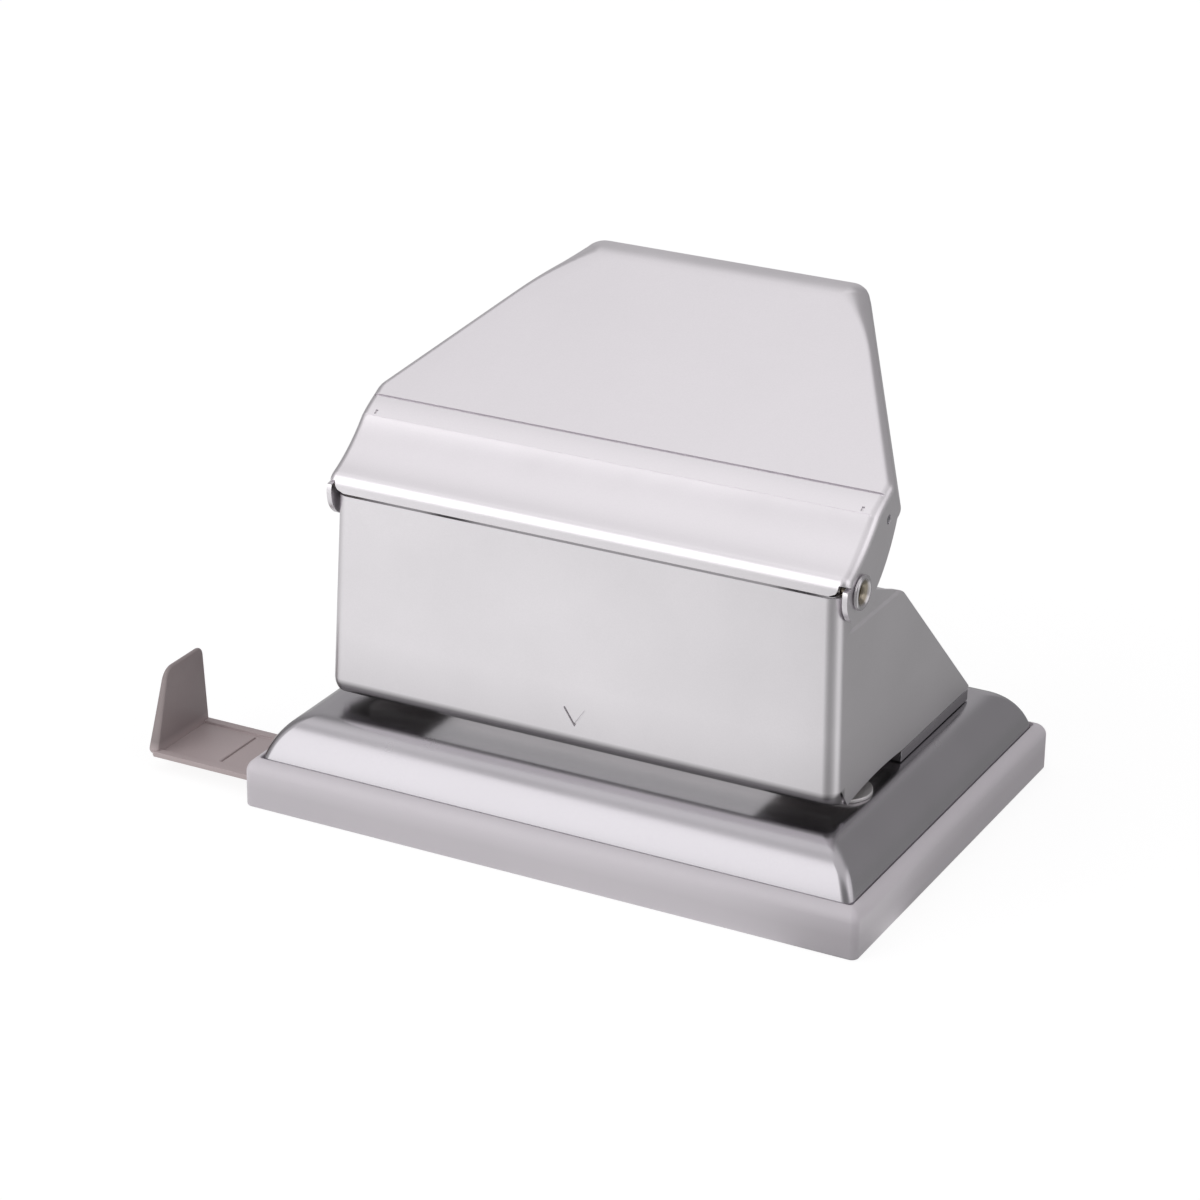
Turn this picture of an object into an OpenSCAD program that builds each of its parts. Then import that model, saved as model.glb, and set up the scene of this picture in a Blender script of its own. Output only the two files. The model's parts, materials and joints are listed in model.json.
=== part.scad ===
// Two-hole desk punch: a pressed steel lever and housing on a steel base over a plastic chip tray.
// Origin at the middle of the tray's underside, X to the right, Y to the back, Z up, in millimetres.

/* [Chip tray] */
// Reach of the tray beyond the housing on each side
tray_reach = 12; // [10:0.5:24]
// Depth of the tray, front to back
tray_d = 100; // [98:1:120]
// Height of the tray's lip
tray_h = 12; // [11:0.5:16]
// Thickness of the tray's walls
tray_wall = 2; // [1.6:0.1:2.4]
// Thickness of the tray's floor
tray_floor = 3; // [2:0.1:3.2]
// Radius of the lip's outer edge
tray_edge_r = 3; // [2.4:0.1:3.6]
// Radius of the tray's upright corners
tray_corner_r = 1.5; // [1:0.5:4]
// Depth of the ledge below the lip's height
ledge_drop = 1; // [0.8:0.1:1.6]
// Width of the lip around the base plate
lip_w = 2.1; // [1.6:0.1:2.4]
// Width of the ledge under the base plate's edge
ledge_w = 2.4; // [1.8:0.1:3]
// Thickness of the ledge
ledge_t = 1.2; // [0.8:0.1:1.6]

/* [Paper stop] */
// Width of the rail, front to back
rail_w = 20.4; // [16:0.2:22]
// Length of the rail under the tray and out to the stop
rail_l = 113; // [90:1:120]
// Height of the rail's edge lips
rail_h = 1.2; // [1:0.1:1.6]
// Thickness of the rail's web
rail_web = 0.7; // [0.6:0.1:0.9]
// Width of each edge lip
rail_lip = 2; // [1.4:0.1:2.4]
// Distance of the rail's cross groove from the stop
groove_l = 14.5; // [10:0.5:20]
// Width of the rail's cross groove
groove_w = 0.4; // [0.3:0.1:0.8]
// Distance of the rail's middle line behind the tray's front
rail_back = 14.8; // [14:0.2:17]
// Distance of the stop's inner face beyond the tray's left side
stop_out = 25.7; // [4:0.1:40]
// Height of the upright stop above the floor the tray stands on
stop_h = 21.7; // [18:0.2:30]
// Thickness of the upright at its top
stop_t = 1.2; // [1:0.1:2]
// Thickness of the upright at its foot
stop_foot_t = 2.3; // [2:0.1:3]
// Width of the upright's top edge
stop_top_w = 13.4; // [8:0.2:16]
// Thickness of the rail's guides in the tray
guide_t = 1.5; // [1.2:0.1:2]
// Reach of the guides' hooks over the rail
guide_hook = 0.7; // [0.4:0.1:1]
// Thickness of the leaf spring that brakes the rail
leaf_t = 0.3; // [0.2:0.05:0.4]
// Length of the leaf spring
leaf_l = 30; // [20:1:40]

/* [Base plate] */
// Rise of the base plate above the tray's ledge
base_h = 8.7; // [7:0.1:12]
// Thickness of the base sheet
base_sheet = 1.2; // [0.8:0.1:1.6]
// Width of the rounded skirt
skirt_run = 9.6; // [6:0.2:9.8]
// Radius of the skirt's upright corners
base_corner_r = 3; // [2:0.5:5]
// Gap between the base plate and the tray's lip
base_gap = 0.3; // [0.2:0.05:0.5]

/* [Throat] */
// Height of the slot that the paper slides into
throat_h = 3.1; // [2.6:0.1:4]
// Distance of the paper's back stop in front of the origin
back_stop_front = 2; // [0:0.5:4]
// Depth of the spacer behind the back stop
spacer_d = 35; // [30:0.5:36]
// Thickness of the die plate
die_t = 0.8; // [0.6:0.1:1.2]
// Depth of the die plate, front to back
die_d = 21.3; // [20:0.1:22]
// Radius of the die plate's half-round ears
die_ear_r = 6; // [5:0.2:6.4]
// Distance of the ears' middle behind the die plate's front edge
die_ear_back = 6; // [6:0.2:8]

/* [Punching] */
// Spacing of the two holes
punch_spacing = 80; // [70:1:88]
// Distance of the holes from the paper's edge
punch_margin = 12; // [11.5:0.1:12.5]
// Diameter of the punch pins
punch_d = 6; // [5:0.1:6.4]
// Height of the pins' cutting notch
notch_h = 1.6; // [1:0.1:2.4]
// Rest height of the pins' tips above the throat
tip_lift = 0.5; // [0.3:0.1:1]
// Diameter of the pins' heads
pin_head_d = 8; // [7.4:0.1:9]
// Thickness of the pins' heads
pin_head_t = 2.2; // [1.6:0.1:3]
// Thickness of the clips below the guides
clip_t = 0.8; // [0.6:0.1:1.2]
// Diameter of the clips
clip_d = 9; // [8:0.1:10]
// Depth of the groove that each clip sits in
clip_groove = 0.4; // [0.2:0.05:0.5]
// Width of each clip's opening
clip_opening = 3; // [2:0.1:4]

/* [Punch frame] */
// Thickness of the stripper plate above the throat
stripper_t = 2.5; // [2:0.1:3]
// Gap between the stripper plate and the housing's sides
stripper_gap = 2.7; // [2:0.1:4]
// Depth of the stripper plate
stripper_d = 42; // [36:1:44]
// Distance of the stripper plate's front edge in front of the punch pins
stripper_front = 12; // [9:0.5:13]
// Thickness of the guide bridge
bridge_t = 2; // [1.6:0.1:2.6]
// Distance of the guide bridge's legs beyond the punch pins
bridge_reach = 10; // [9:0.1:10.5]
// Depth of the guide bridge
bridge_d = 18; // [15:0.5:18]
// Height of the guide bridge above the stripper plate
bridge_h = 22.7; // [18:0.1:26]
// Width of the bridge's feet
bridge_foot = 4; // [3.6:0.1:4]
// Diameter of the guide bushes
bush_d = 9; // [8:0.1:10]
// Diameter of the bushes' flanges
bush_flange_d = 12; // [11:0.1:14]
// Thickness of the bushes' flanges
bush_flange_t = 1.2; // [0.8:0.1:1.6]
// Depth of the bushes below the bridge
bush_tail = 2; // [1:0.1:3]

/* [Return springs] */
// Diameter of the spring wire
wire_d = 0.9; // [0.7:0.05:1.1]
// Diameter of the coil over its outside
coil_d = 9.2; // [9:0.1:10]
// Number of curls
coil_turns = 9; // [6:1:12]
// Diameter of the caps above the springs
cap_d = 10.4; // [10:0.1:11]
// Thickness of the caps
cap_t = 1.4; // [1:0.1:2]

/* [Housing] */
// Distance of the housing's sides beyond the punch pins, at the base plate
housing_reach = 18; // [17:0.1:19]
// Distance of the front face's foot in front of the origin
housing_front = 35.4; // [34:0.1:37]
// Height of the front face's top edge above the base plate
housing_h = 47.4; // [44:0.1:47.6]
// Lean of the front and the sides, in degrees
housing_lean = 1.8; // [0:0.1:3]
// Thickness of the housing sheet
housing_sheet = 1.2; // [0.8:0.1:1.4]
// Outer radius of the upright folds
housing_corner_r = 3; // [2.5:0.1:4]
// Radius of the roll along the front face's foot
roll_r = 3; // [2.5:0.1:4]
// Drop of the sides' rear corner below the front face's top edge
rear_drop = 8.9; // [7:0.1:11]
// Distance of the rear corner in front of the origin
rear_corner_front = 3.3; // [1:0.1:6]
// Rounding of the rear corner
rear_corner_r = 9; // [4:0.5:12]
// Slope of the sides' top edge, in degrees
top_slope = 20.4; // [16:0.1:22]
// Radius of the housing's ears round the pivot
housing_ear_r = 3.1; // [2.8:0.1:3.1]
// Width of the feet bent in from the sides
housing_foot_w = 9; // [8:0.5:11]
// Depth of those feet, front to back
housing_foot_d = 11; // [9:0.5:12]
// Rise of the arch below the sides
arch_rise = 0.8; // [0.4:0.1:1.2]
// Drop of the sides' front tips below the arch's rear end
tip_drop = 0.8; // [0:0.1:1]
// Thickness of the rear cover
cover_t = 1; // [0.8:0.1:1.2]
// Depth of the cover's foot, front to back
cover_foot_d = 13; // [12:0.5:14]
// Depth of the cover's top in front of its bend
cover_top_d = 6; // [3:0.5:10]
// Width of the centre mark
mark_w = 4; // [2:0.2:6]
// Height of the centre mark
mark_h = 2.8; // [2:0.1:4]
// Height of the centre mark's tip above the base plate
mark_z = 9.1; // [8:0.1:20]

/* [Lever] */
// Distance of the pivot in front of the origin
pivot_front = 28.2; // [27.8:0.1:28.6]
// Height of the pivot above the front face's top edge
pivot_rise = 0.2; // [0:0.1:0.6]
// Thickness of the lever sheet
lever_sheet = 1.1; // [1:0.1:1.4]
// Gap between the lever's flanges and the housing
lever_gap = 0.6; // [0.6:0.1:1.2]
// Radius of the lever's ears
ear_r = 6.1; // [5:0.1:6.4]
// Distance of the apron's lip in front of the pivot
lip_front = 6.1; // [6:0.1:6.4]
// Height of the bend above the lip, from the pivot
lip_h = 3.8; // [3:0.1:4.4]
// Height of the lip's edge above the pivot
lip_rise = 0.5; // [0:0.1:1]
// Radius of the bend above the lip
lip_bend_r = 3; // [1:0.5:4]
// Distance of the crease behind the pivot
crease_back = 11.7; // [11:0.1:13]
// Height of the crease above the pivot
crease_up = 16; // [15.4:0.1:17]
// Depth of the crease across the lever
crease_depth = 0.6; // [0.3:0.1:0.8]
// Width of the bead in front of the crease
bead_w = 4.5; // [3:0.1:6]
// Height of the bead
bead_rise = 0.6; // [0.2:0.1:1]
// Depth of the hollow in the apron
apron_hollow = 0.7; // [0:0.1:1]
// Length of the plate from the crease to its free end
plate_l = 54.6; // [40:0.2:70]
// Slope of the plate, in degrees
plate_slope = 28.9; // [20:0.1:35]
// Width of the plate at its free end
end_w = 62; // [40:0.2:80]
// Outer radius of the folds round the plate
fold_r = 3; // [2:0.1:4]
// Depth of the lip at the free end
end_lip = 5.5; // [4.8:0.1:7]
// Depth of the flanges at their heel
heel_depth = 8.3; // [7:0.1:9]
// Distance of the flanges' heel behind the crease
heel_back = 3.4; // [2:0.1:5]
// Rounding of the heel
heel_r = 2; // [1:0.1:3]
// Bulge of the flanges' back edge
heel_bow = 1.8; // [0:0.1:2.4]

/* [Pivot and pressure rod] */
// Diameter of the pivot rivets' shanks
rivet_d = 4; // [3.6:0.1:4.2]
// Diameter of the pivot rivets' heads
rivet_head_d = 7.2; // [6:0.1:8]
// Thickness of the pivot rivets' heads
rivet_head_t = 1; // [0.6:0.1:1.4]
// Diameter of the pivot rivets' hollow
rivet_bore_d = 2.8; // [2:0.1:3]
// Outer diameter of the spacing washers
washer_d = 5.8; // [5.4:0.1:6]
// Distance of the pressure rod from the pivot
rod_arm = 16.5; // [16:0.1:17]
// Angle of the pressure rod above the level of the pivot, in degrees
rod_angle = 40.1; // [38:0.1:41]
// Diameter of the pressure rod
rod_d = 3.4; // [3:0.1:3.5]
// Diameter of the rod's ends in the flanges
rod_end_d = 1.9; // [1.5:0.1:2.2]

/* [Fastening rivets] */
// Diameter of the rivets that hold the frame
frame_rivet_d = 4; // [3:0.1:5]
// Diameter of their heads
frame_rivet_head_d = 7; // [6:0.1:8]
// Thickness of their heads
frame_rivet_head_t = 1.6; // [1:0.1:2]
// Distance of the front frame rivets beyond the punch pins
front_rivet_reach = 3; // [0:0.5:5]
// Distance of the front pair behind the back stop
front_rivet_back = 10; // [8:0.5:12]
// Distance of the rear pairs behind the back stop
rear_rivet_back = 25; // [24:0.5:26]
// Distance of the rear cover's rivets inside the punch pins
cover_rivet_inset = 10; // [5:0.5:20]
// Diameter of the small rivets
small_rivet_d = 2.4; // [1.8:0.1:2.6]
// Diameter of the small rivets' heads
small_rivet_head_d = 3.8; // [3:0.1:4]
// Thickness of the small rivets' heads
small_rivet_head_t = 0.9; // [0.6:0.1:1.2]

/* [Clearances] */
// Radial clearance of running fits
run_gap = 0.05; // [0.02:0.01:0.1]
// Gap between loosely fitting neighbours
loose_gap = 0.3; // [0.2:0.05:0.4]

/* [Hidden] */

$fn = 48;
hull_fn = 32;
arc_steps = 8;
left = -1;
right = 1;
overrun = tray_wall;
skin = loose_gap / 2;

// Widths
punch_x = punch_spacing / 2;
housing_w = 2 * (punch_x + housing_reach);
tray_w = housing_w + 2 * tray_reach;
stop_reach = tray_w / 2 + stop_out;

// Levels
seat_z = tray_h - ledge_drop;
base_top = seat_z + base_h;
base_under = base_top - base_sheet;
throat_top = base_top + throat_h;
stripper_top = throat_top + stripper_t;
bridge_top = stripper_top + bridge_h;
front_top = base_top + housing_h;
pivot_z = front_top + pivot_rise;

// Places in depth
back_stop_y = -back_stop_front;
spacer_back = back_stop_y + spacer_d;
rear_foot = spacer_back + loose_gap;
punch_y = back_stop_y - punch_margin;
pivot_y = -pivot_front;
rail_y = rail_back - tray_d / 2;
rear_corner = [-rear_corner_front, front_top - rear_drop];
pivot = [pivot_y, pivot_z];

// Sizes that follow
base_w = tray_w - 2 * (lip_w + base_gap);
base_d = tray_d - 2 * (lip_w + base_gap);
inner_w = tray_w - 2 * tray_wall;
inner_d = tray_d - 2 * tray_wall;
bridge_w = punch_spacing + 2 * bridge_reach;
stripper_w = 2 * (housing_half(stripper_top) - housing_sheet - stripper_gap);
lever_half = housing_half(pivot_z) + lever_gap + lever_sheet;

// Rod and pins at rest
rod_y = pivot_y + rod_arm * cos(rod_angle);
rod_z = pivot_z + rod_arm * sin(rod_angle);
pin_top = rod_z - rod_d / 2 - loose_gap;
pin_tip = throat_top + tip_lift;
cap_top = pin_top - pin_head_t;
cap_bottom = cap_top - cap_t;
bush_top = bridge_top + bush_flange_t;
bush_bottom = bridge_top - bridge_t - bush_tail;
clip_top = bush_bottom - loose_gap;
pin_hole_d = punch_d + 2 * run_gap;

// Half width and front face of the leaning housing at a height
function housing_half(z) = housing_w / 2 - tan(housing_lean) * (z - base_top);
function front_y(z) = -housing_front + tan(housing_lean) * (z - base_top);

// Plane geometry of outlines
function unit(v) = v / norm(v);
function turn(v) = [-v[1], v[0]];
function wrap(a) = a - 360 * round(a / 360);
function polar(r, a) = [r * cos(a), r * sin(a)];
function backwards(p) = [for (i = [len(p) - 1 : -1 : 0]) p[i]];
function arc(c, r, a0, a1, n = arc_steps) = [for (i = [0 : n]) c + polar(r, a0 + (a1 - a0) * i / n)];

// Corner between two straight runs, rounded by an arc
function corner(p0, p1, p2, r, n = arc_steps) = r <= 0 ? [p1] :
    let (
        u = unit(p0 - p1),
        v = unit(p2 - p1),
        half = acos(u * v) / 2,
        c = p1 + unit(u + v) * r / sin(half),
        s = p1 + u * r / tan(half) - c,
        e = p1 + v * r / tan(half) - c,
        a0 = atan2(s[1], s[0]),
        da = wrap(atan2(e[1], e[0]) - a0)
    ) arc(c, r, a0, a0 + da, n);

// Closed outline with each corner rounded by its own radius
function rounded_ring(p, r) = let (n = len(p))
    [for (i = [0 : n - 1]) each corner(p[(i + n - 1) % n], p[i], p[(i + 1) % n], r[i])];

// Shallow bow from p to q that rises to its left
function bow(p, q, rise, n = arc_steps) =
    [for (i = [0 : n]) let (t = i / n) p + (q - p) * t + turn(unit(q - p)) * 4 * rise * t * (1 - t)];

// Path moved to its left by a distance, with mitred corners
function offset_path(path, d) = let (last = len(path) - 1) [for (i = [0 : last])
    let (
        a = turn(unit(i == 0 ? path[1] - path[0] : path[i] - path[i - 1])),
        b = turn(unit(i == last ? path[i] - path[i - 1] : path[i + 1] - path[i])),
        m = unit(a + b)
    ) path[i] + m * d / (m * a)];

// Strip between a path moved to its left by near and by far
function strip(path, near, far) = concat(offset_path(path, near), backwards(offset_path(path, far)));

// Steps of inset and height along a quarter ellipse, from the side up to the top
function quarter(z, run, rise, n = 2 * arc_steps) =
    [for (i = [0 : n]) [run * (1 - cos(90 * i / n)), z + rise * sin(90 * i / n)]];

// Outline of a slab whose sides follow steps of inset and height
function slab_outline(half, steps) = concat(
    [for (s = steps) [half - s[0], s[1]]],
    [for (s = backwards(steps)) [s[0] - half, s[1]]]);

module rounded_rect(w, d, r) {
    square([w - 2 * r, d], center = true);
    square([w, d - 2 * r], center = true);
    for (x = [left, right], y = [left, right])
        translate([x * (w / 2 - r), y * (d / 2 - r)])
            circle(r);
}

// Outline in Y and Z drawn out to a width about the middle
module along_x(w) {
    rotate([90, 0, 90])
        linear_extrude(height = w, center = true)
            children();
}

// Outline in X and Z drawn out to a depth about the middle
module along_y(d) {
    rotate([90, 0, 0])
        linear_extrude(height = d, center = true)
            children();
}

// Outline in X and Y drawn out from z0 to z1
module upright(z0, z1) {
    translate([0, 0, z0])
        linear_extrude(height = z1 - z0)
            children();
}

module block(x0, x1, y0, y1, z0, z1) {
    translate([x0, y0, z0])
        cube([x1 - x0, y1 - y0, z1 - z0]);
}

module rod(d, z0, z1) {
    translate([0, 0, z0])
        cylinder(d = d, h = z1 - z0);
}

// Block with its sides shaped by steps and its upright corners rounded
module slab(w, d, steps, r) {
    intersection() {
        along_y(d)
            polygon(slab_outline(w / 2, steps));
        along_x(w)
            polygon(slab_outline(d / 2, steps));
        upright(steps[0][1], steps[len(steps) - 1][1])
            rounded_rect(w, d, r);
    }
}

// Cross bore through everything at a place in Y and Z
module cross_bore(d, y, z) {
    translate([0, y, z])
        rotate([0, 90, 0])
            cylinder(d = d, h = 2 * tray_w, center = true);
}

// Turned piece on an axis along X, drawn with its heights running outwards
module on_side(side, y, z) {
    translate([0, y, z])
        rotate([0, side * 90, 0])
            children();
}

// Chip tray with its ledge, its rail window and its two rail guides
rail_z = tray_floor + loose_gap;
rail_top = rail_z + rail_h;
guide_top = rail_top + loose_gap + guide_t / 2;
guide_back_gap = 4 * leaf_t;

module chip_tray() {
    steps = concat([[0, 0]], quarter(tray_h - tray_edge_r, tray_edge_r, tray_edge_r));
    color([0.80, 0.80, 0.83])
        difference() {
            union() {
                difference() {
                    slab(tray_w, tray_d, steps, tray_corner_r);
                    upright(tray_floor, seat_z - ledge_t)
                        rounded_rect(inner_w, inner_d, tray_corner_r / 2);
                    upright(seat_z - 2 * ledge_t, tray_h + overrun)
                        rounded_rect(base_w - 2 * ledge_w, base_d - 2 * ledge_w, tray_corner_r / 2);
                    upright(seat_z, tray_h + overrun)
                        rounded_rect(tray_w - 2 * lip_w, tray_d - 2 * lip_w, tray_corner_r / 2);
                }
                rail_guides();
            }
            block(-tray_w, guide_t - inner_w / 2,
                rail_y - rail_w / 2 - loose_gap, rail_y + rail_w / 2 + loose_gap,
                rail_z - skin, rail_top + loose_gap);
        }
}

// Outline of a guide whose hook reaches over the rail, drawn towards positive Y
function guide_outline(gap) = [[gap + guide_t, tray_floor - skin], [gap, tray_floor - skin],
    [gap, guide_top - guide_t / 2], [-guide_hook, guide_top - guide_t / 2],
    [-guide_hook, guide_top], [gap + guide_t, guide_top]];

module rail_guides() {
    guide_l = rail_l - (stop_reach - inner_w / 2);
    translate([guide_l / 2 - inner_w / 2 - skin, rail_y, 0]) {
        translate([0, rail_w / 2, 0])
            along_x(guide_l)
                polygon(guide_outline(guide_back_gap));
        mirror([0, 1, 0])
            translate([0, rail_w / 2, 0])
                along_x(guide_l)
                    polygon(guide_outline(loose_gap));
    }
}

// Paper stop: a channel rail with an upright plate at its outer end
module paper_stop() {
    stop_x = -stop_reach;
    edge = rail_w / 2;
    web_top = rail_z + rail_web;
    channel = [[-edge, rail_z], [edge, rail_z], [edge, rail_top], [edge - rail_lip, rail_top],
        [edge - rail_lip, web_top], [rail_lip - edge, web_top], [rail_lip - edge, rail_top],
        [-edge, rail_top]];
    color([0.50, 0.47, 0.47]) {
        difference() {
            translate([stop_x + rail_l / 2 - skin, rail_y, 0])
                along_x(rail_l + 2 * skin)
                    polygon(channel);
            block(stop_x + groove_l, stop_x + groove_l + groove_w,
                rail_y - edge + 2 * rail_lip, rail_y + edge - 2 * rail_lip,
                web_top - groove_w, rail_top);
        }
        intersection() {
            along_y(tray_d)
                polygon([[stop_x, rail_z], [stop_x, stop_h], [stop_x - stop_t, stop_h],
                    [stop_x - stop_foot_t, rail_top], [stop_x - stop_foot_t, rail_z]]);
            along_x(4 * stop_reach)
                polygon(stop_outline());
        }
    }
}

function stop_outline() = let (
        front = rail_y - rail_w / 2 + rail_lip / 2,
        back = rail_y + rail_w / 2,
        top_back = back - rail_lip
    ) rounded_ring([[front, rail_z], [back, rail_z], [top_back, stop_h], [top_back - stop_top_w, stop_h]],
        [rail_lip, 0, rail_lip, 2 * rail_lip]);

// Bowed leaf between the rear guide and the rail
module rail_spring() {
    foot_y = rail_y + rail_w / 2 + guide_back_gap;
    path = bow([-leaf_l, foot_y], [0, foot_y], 2 * leaf_t - guide_back_gap);
    color("silver")
        upright(rail_z + leaf_t, rail_top - leaf_t)
            polygon(strip(path, 0, -leaf_t));
}

// Pressed base plate with a rounded skirt, open below
module base_plate() {
    color([0.62, 0.62, 0.65])
        difference() {
            slab(base_w, base_d, quarter(seat_z, skirt_run, base_h), base_corner_r);
            slab(base_w - 2 * base_sheet, base_d - 2 * base_sheet,
                concat([[0, seat_z - overrun]], quarter(seat_z, skirt_run - base_sheet, base_h - base_sheet)),
                base_corner_r - base_sheet);
            for (side = [left, right])
                translate([side * punch_x, punch_y, 0])
                    rod(pin_hole_d + loose_gap, 0, base_top + overrun);
            at_frame_rivets()
                rod(frame_rivet_d + 2 * run_gap, 0, base_top + overrun);
            at_die_rivets()
                rod(small_rivet_d + 2 * run_gap, 0, base_top + overrun);
        }
}

// Die plate with its two cutting holes and half-round ears
die_front = back_stop_y - die_d - overrun;
die_ear_x = housing_half(base_top) + 2 * loose_gap - die_ear_r;

module at_die_rivets() {
    for (side = [left, right])
        translate([side * die_ear_x, die_front + die_ear_back, 0])
            children();
}

module die_plate() {
    color([0.55, 0.55, 0.58])
        difference() {
            upright(base_top, base_top + die_t) {
                translate([-die_ear_x, die_front])
                    square([2 * die_ear_x, die_d]);
                for (side = [left, right])
                    translate([side * die_ear_x, die_front + die_ear_back])
                        circle(die_ear_r);
            }
            for (side = [left, right])
                translate([side * punch_x, punch_y, 0])
                    rod(pin_hole_d, 0, throat_top);
            at_die_rivets()
                rod(small_rivet_d + 2 * run_gap, 0, throat_top);
        }
}

module die_rivets() {
    color("silver")
        at_die_rivets() {
            rod(small_rivet_d, base_under - skin, base_top + die_t - skin);
            rod(small_rivet_head_d, base_under - small_rivet_head_t, base_under);
        }
}

// Spacer that lifts the frame off the base plate and stops the paper
module throat_spacer() {
    half = housing_half(throat_top);
    r = housing_corner_r;
    color([0.66, 0.66, 0.69])
        difference() {
            upright(base_top, throat_top)
                polygon(rounded_ring([[-half, back_stop_y], [half, back_stop_y], [half, spacer_back],
                    [-half, spacer_back]], [0, 0, r, r]));
            at_frame_rivets()
                rod(frame_rivet_d + 2 * run_gap, 0, throat_top + overrun);
        }
}

// Stripper plate that pulls the paper off the pins and guides their tips
module stripper_plate() {
    front = punch_y - stripper_front;
    color([0.58, 0.58, 0.60])
        difference() {
            block(-stripper_w / 2, stripper_w / 2, front, front + stripper_d, throat_top, stripper_top);
            for (side = [left, right])
                translate([side * punch_x, punch_y, 0])
                    rod(pin_hole_d, 0, stripper_top + overrun);
            at_frame_rivets()
                rod(frame_rivet_d + 2 * run_gap, 0, stripper_top + overrun);
            at_bridge_rivets()
                rod(small_rivet_d + 2 * run_gap, 0, stripper_top + overrun);
        }
}

// Rivets through the base plate, the spacer and what stands on the spacer
foot_rivet_x = housing_half(throat_top) - housing_sheet - housing_foot_w / 2;
frame_rivet_places = [
    [punch_x + front_rivet_reach, back_stop_y + front_rivet_back, stripper_top],
    [foot_rivet_x, back_stop_y + rear_rivet_back, throat_top + housing_sheet],
    [punch_x - cover_rivet_inset, back_stop_y + rear_rivet_back, throat_top + cover_t]];

module at_frame_rivets() {
    for (side = [left, right], p = frame_rivet_places)
        translate([side * p[0], p[1], 0])
            children();
}

module frame_rivets() {
    color("silver")
        for (side = [left, right], p = frame_rivet_places)
            translate([side * p[0], p[1], 0]) {
                rod(frame_rivet_d, base_under - skin, p[2] + skin);
                rod(frame_rivet_head_d, base_under - frame_rivet_head_t, base_under);
                rod(frame_rivet_head_d, p[2], p[2] + frame_rivet_head_t);
            }
}

// Inverted U that carries the upper guides of the pins
bridge_foot_x = (bridge_w + bridge_foot) / 2;
foot_top = stripper_top + bridge_t;

module guide_bridge() {
    outer = bridge_w / 2;
    inner = outer - bridge_t;
    foot = outer + bridge_foot;
    half = [[inner, bridge_top - bridge_t], [inner, stripper_top], [foot, stripper_top],
        [foot, foot_top], [outer, foot_top], [outer, bridge_top]];
    color([0.60, 0.60, 0.62])
        difference() {
            translate([0, punch_y, 0])
                along_y(bridge_d)
                    polygon(concat(half, [for (p = backwards(half)) [-p[0], p[1]]]));
            for (side = [left, right])
                translate([side * punch_x, punch_y, 0])
                    rod(bush_d + 2 * run_gap, foot_top, bridge_top + overrun);
            at_bridge_rivets()
                rod(small_rivet_d + 2 * run_gap, 0, foot_top + overrun);
        }
}

module at_bridge_rivets() {
    for (side = [left, right], end = [left, right])
        translate([side * bridge_foot_x, punch_y + end * bridge_d / 3, 0])
            children();
}

module bridge_rivets() {
    color("silver")
        at_bridge_rivets() {
            rod(small_rivet_d, throat_top + skin, foot_top + skin);
            rod(small_rivet_head_d, foot_top, foot_top + small_rivet_head_t);
        }
}

// Flanged bush that guides a pin in the bridge
module pin_bush(side) {
    color([0.72, 0.60, 0.38])
        translate([side * punch_x, punch_y, 0])
            difference() {
                union() {
                    rod(bush_d, bush_bottom, bush_top);
                    rod(bush_flange_d, bridge_top, bush_top);
                }
                rod(pin_hole_d, 0, bush_top + overrun);
            }
}

// Punch pin with a notched cutting end, a clip groove and a flat head
notch_share = 0.8;

module punch_pin(side) {
    notch = notch_share * punch_d / 2;
    color([0.45, 0.45, 0.48])
        translate([side * punch_x, punch_y, 0])
            difference() {
                union() {
                    rod(punch_d, pin_tip, pin_top);
                    rod(pin_head_d, cap_top, pin_top);
                }
                along_y(2 * punch_d)
                    polygon([[-notch, pin_tip - overrun], [-notch, pin_tip], [0, pin_tip + notch_h],
                        [notch, pin_tip], [notch, pin_tip - overrun]]);
                difference() {
                    rod(2 * punch_d, clip_top - clip_t - run_gap, clip_top + run_gap);
                    rod(punch_d - 2 * clip_groove, bush_bottom - 2 * clip_t, bush_bottom);
                }
            }
}

// Open clip in the pin's groove, which stops the pin at its rest height
module pin_clip(side) {
    inner_d = punch_d - 2 * clip_groove + run_gap;
    color([0.40, 0.40, 0.42])
        translate([side * punch_x, punch_y, 0])
            difference() {
                rod(clip_d, clip_top - clip_t, clip_top);
                rod(inner_d, 0, bush_top);
                block(-clip_opening / 2, clip_opening / 2, -clip_d, 0, 0, bush_top);
            }
}

// Cap between a return spring and the head of its pin
module spring_cap(side) {
    color([0.70, 0.70, 0.72])
        translate([side * punch_x, punch_y, 0])
            difference() {
                rod(cap_d, cap_bottom, cap_top);
                rod(punch_d + run_gap, 0, pin_top);
            }
}

// Route of a return spring on its cylinder, as steps round it and up it
coil_r = (coil_d - wire_d) / 2;
coil_rings = 8;
bend_rings = 3;
coil_bend = wire_d + wire_d / 2;
coil_low = bush_top + wire_d;
coil_high = cap_bottom - wire_d;
coil_around = 2 * PI * coil_r * coil_turns;
coil_rise = coil_high - coil_low - 2 * coil_bend;
coil_count = coil_rings * coil_turns;
coil_start = concat([[0, bush_top]], [for (i = [0 : bend_rings - 1]) let (a = 90 * i / bend_rings)
    [coil_bend * (1 - cos(a)), coil_low + coil_bend * sin(a)]]);
coil_steps = concat(coil_start,
    [for (i = [0 : coil_count])
        [coil_bend + coil_around * i / coil_count, coil_low + coil_bend + coil_rise * i / coil_count]],
    [for (s = backwards(coil_start))
        [coil_around + 2 * coil_bend - s[0], bush_top + cap_bottom - s[1]]]);
coil_path = [for (s = coil_steps) let (p = polar(coil_r, s[0] / coil_r * 180 / PI)) [p[0], p[1], s[1]]];

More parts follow.
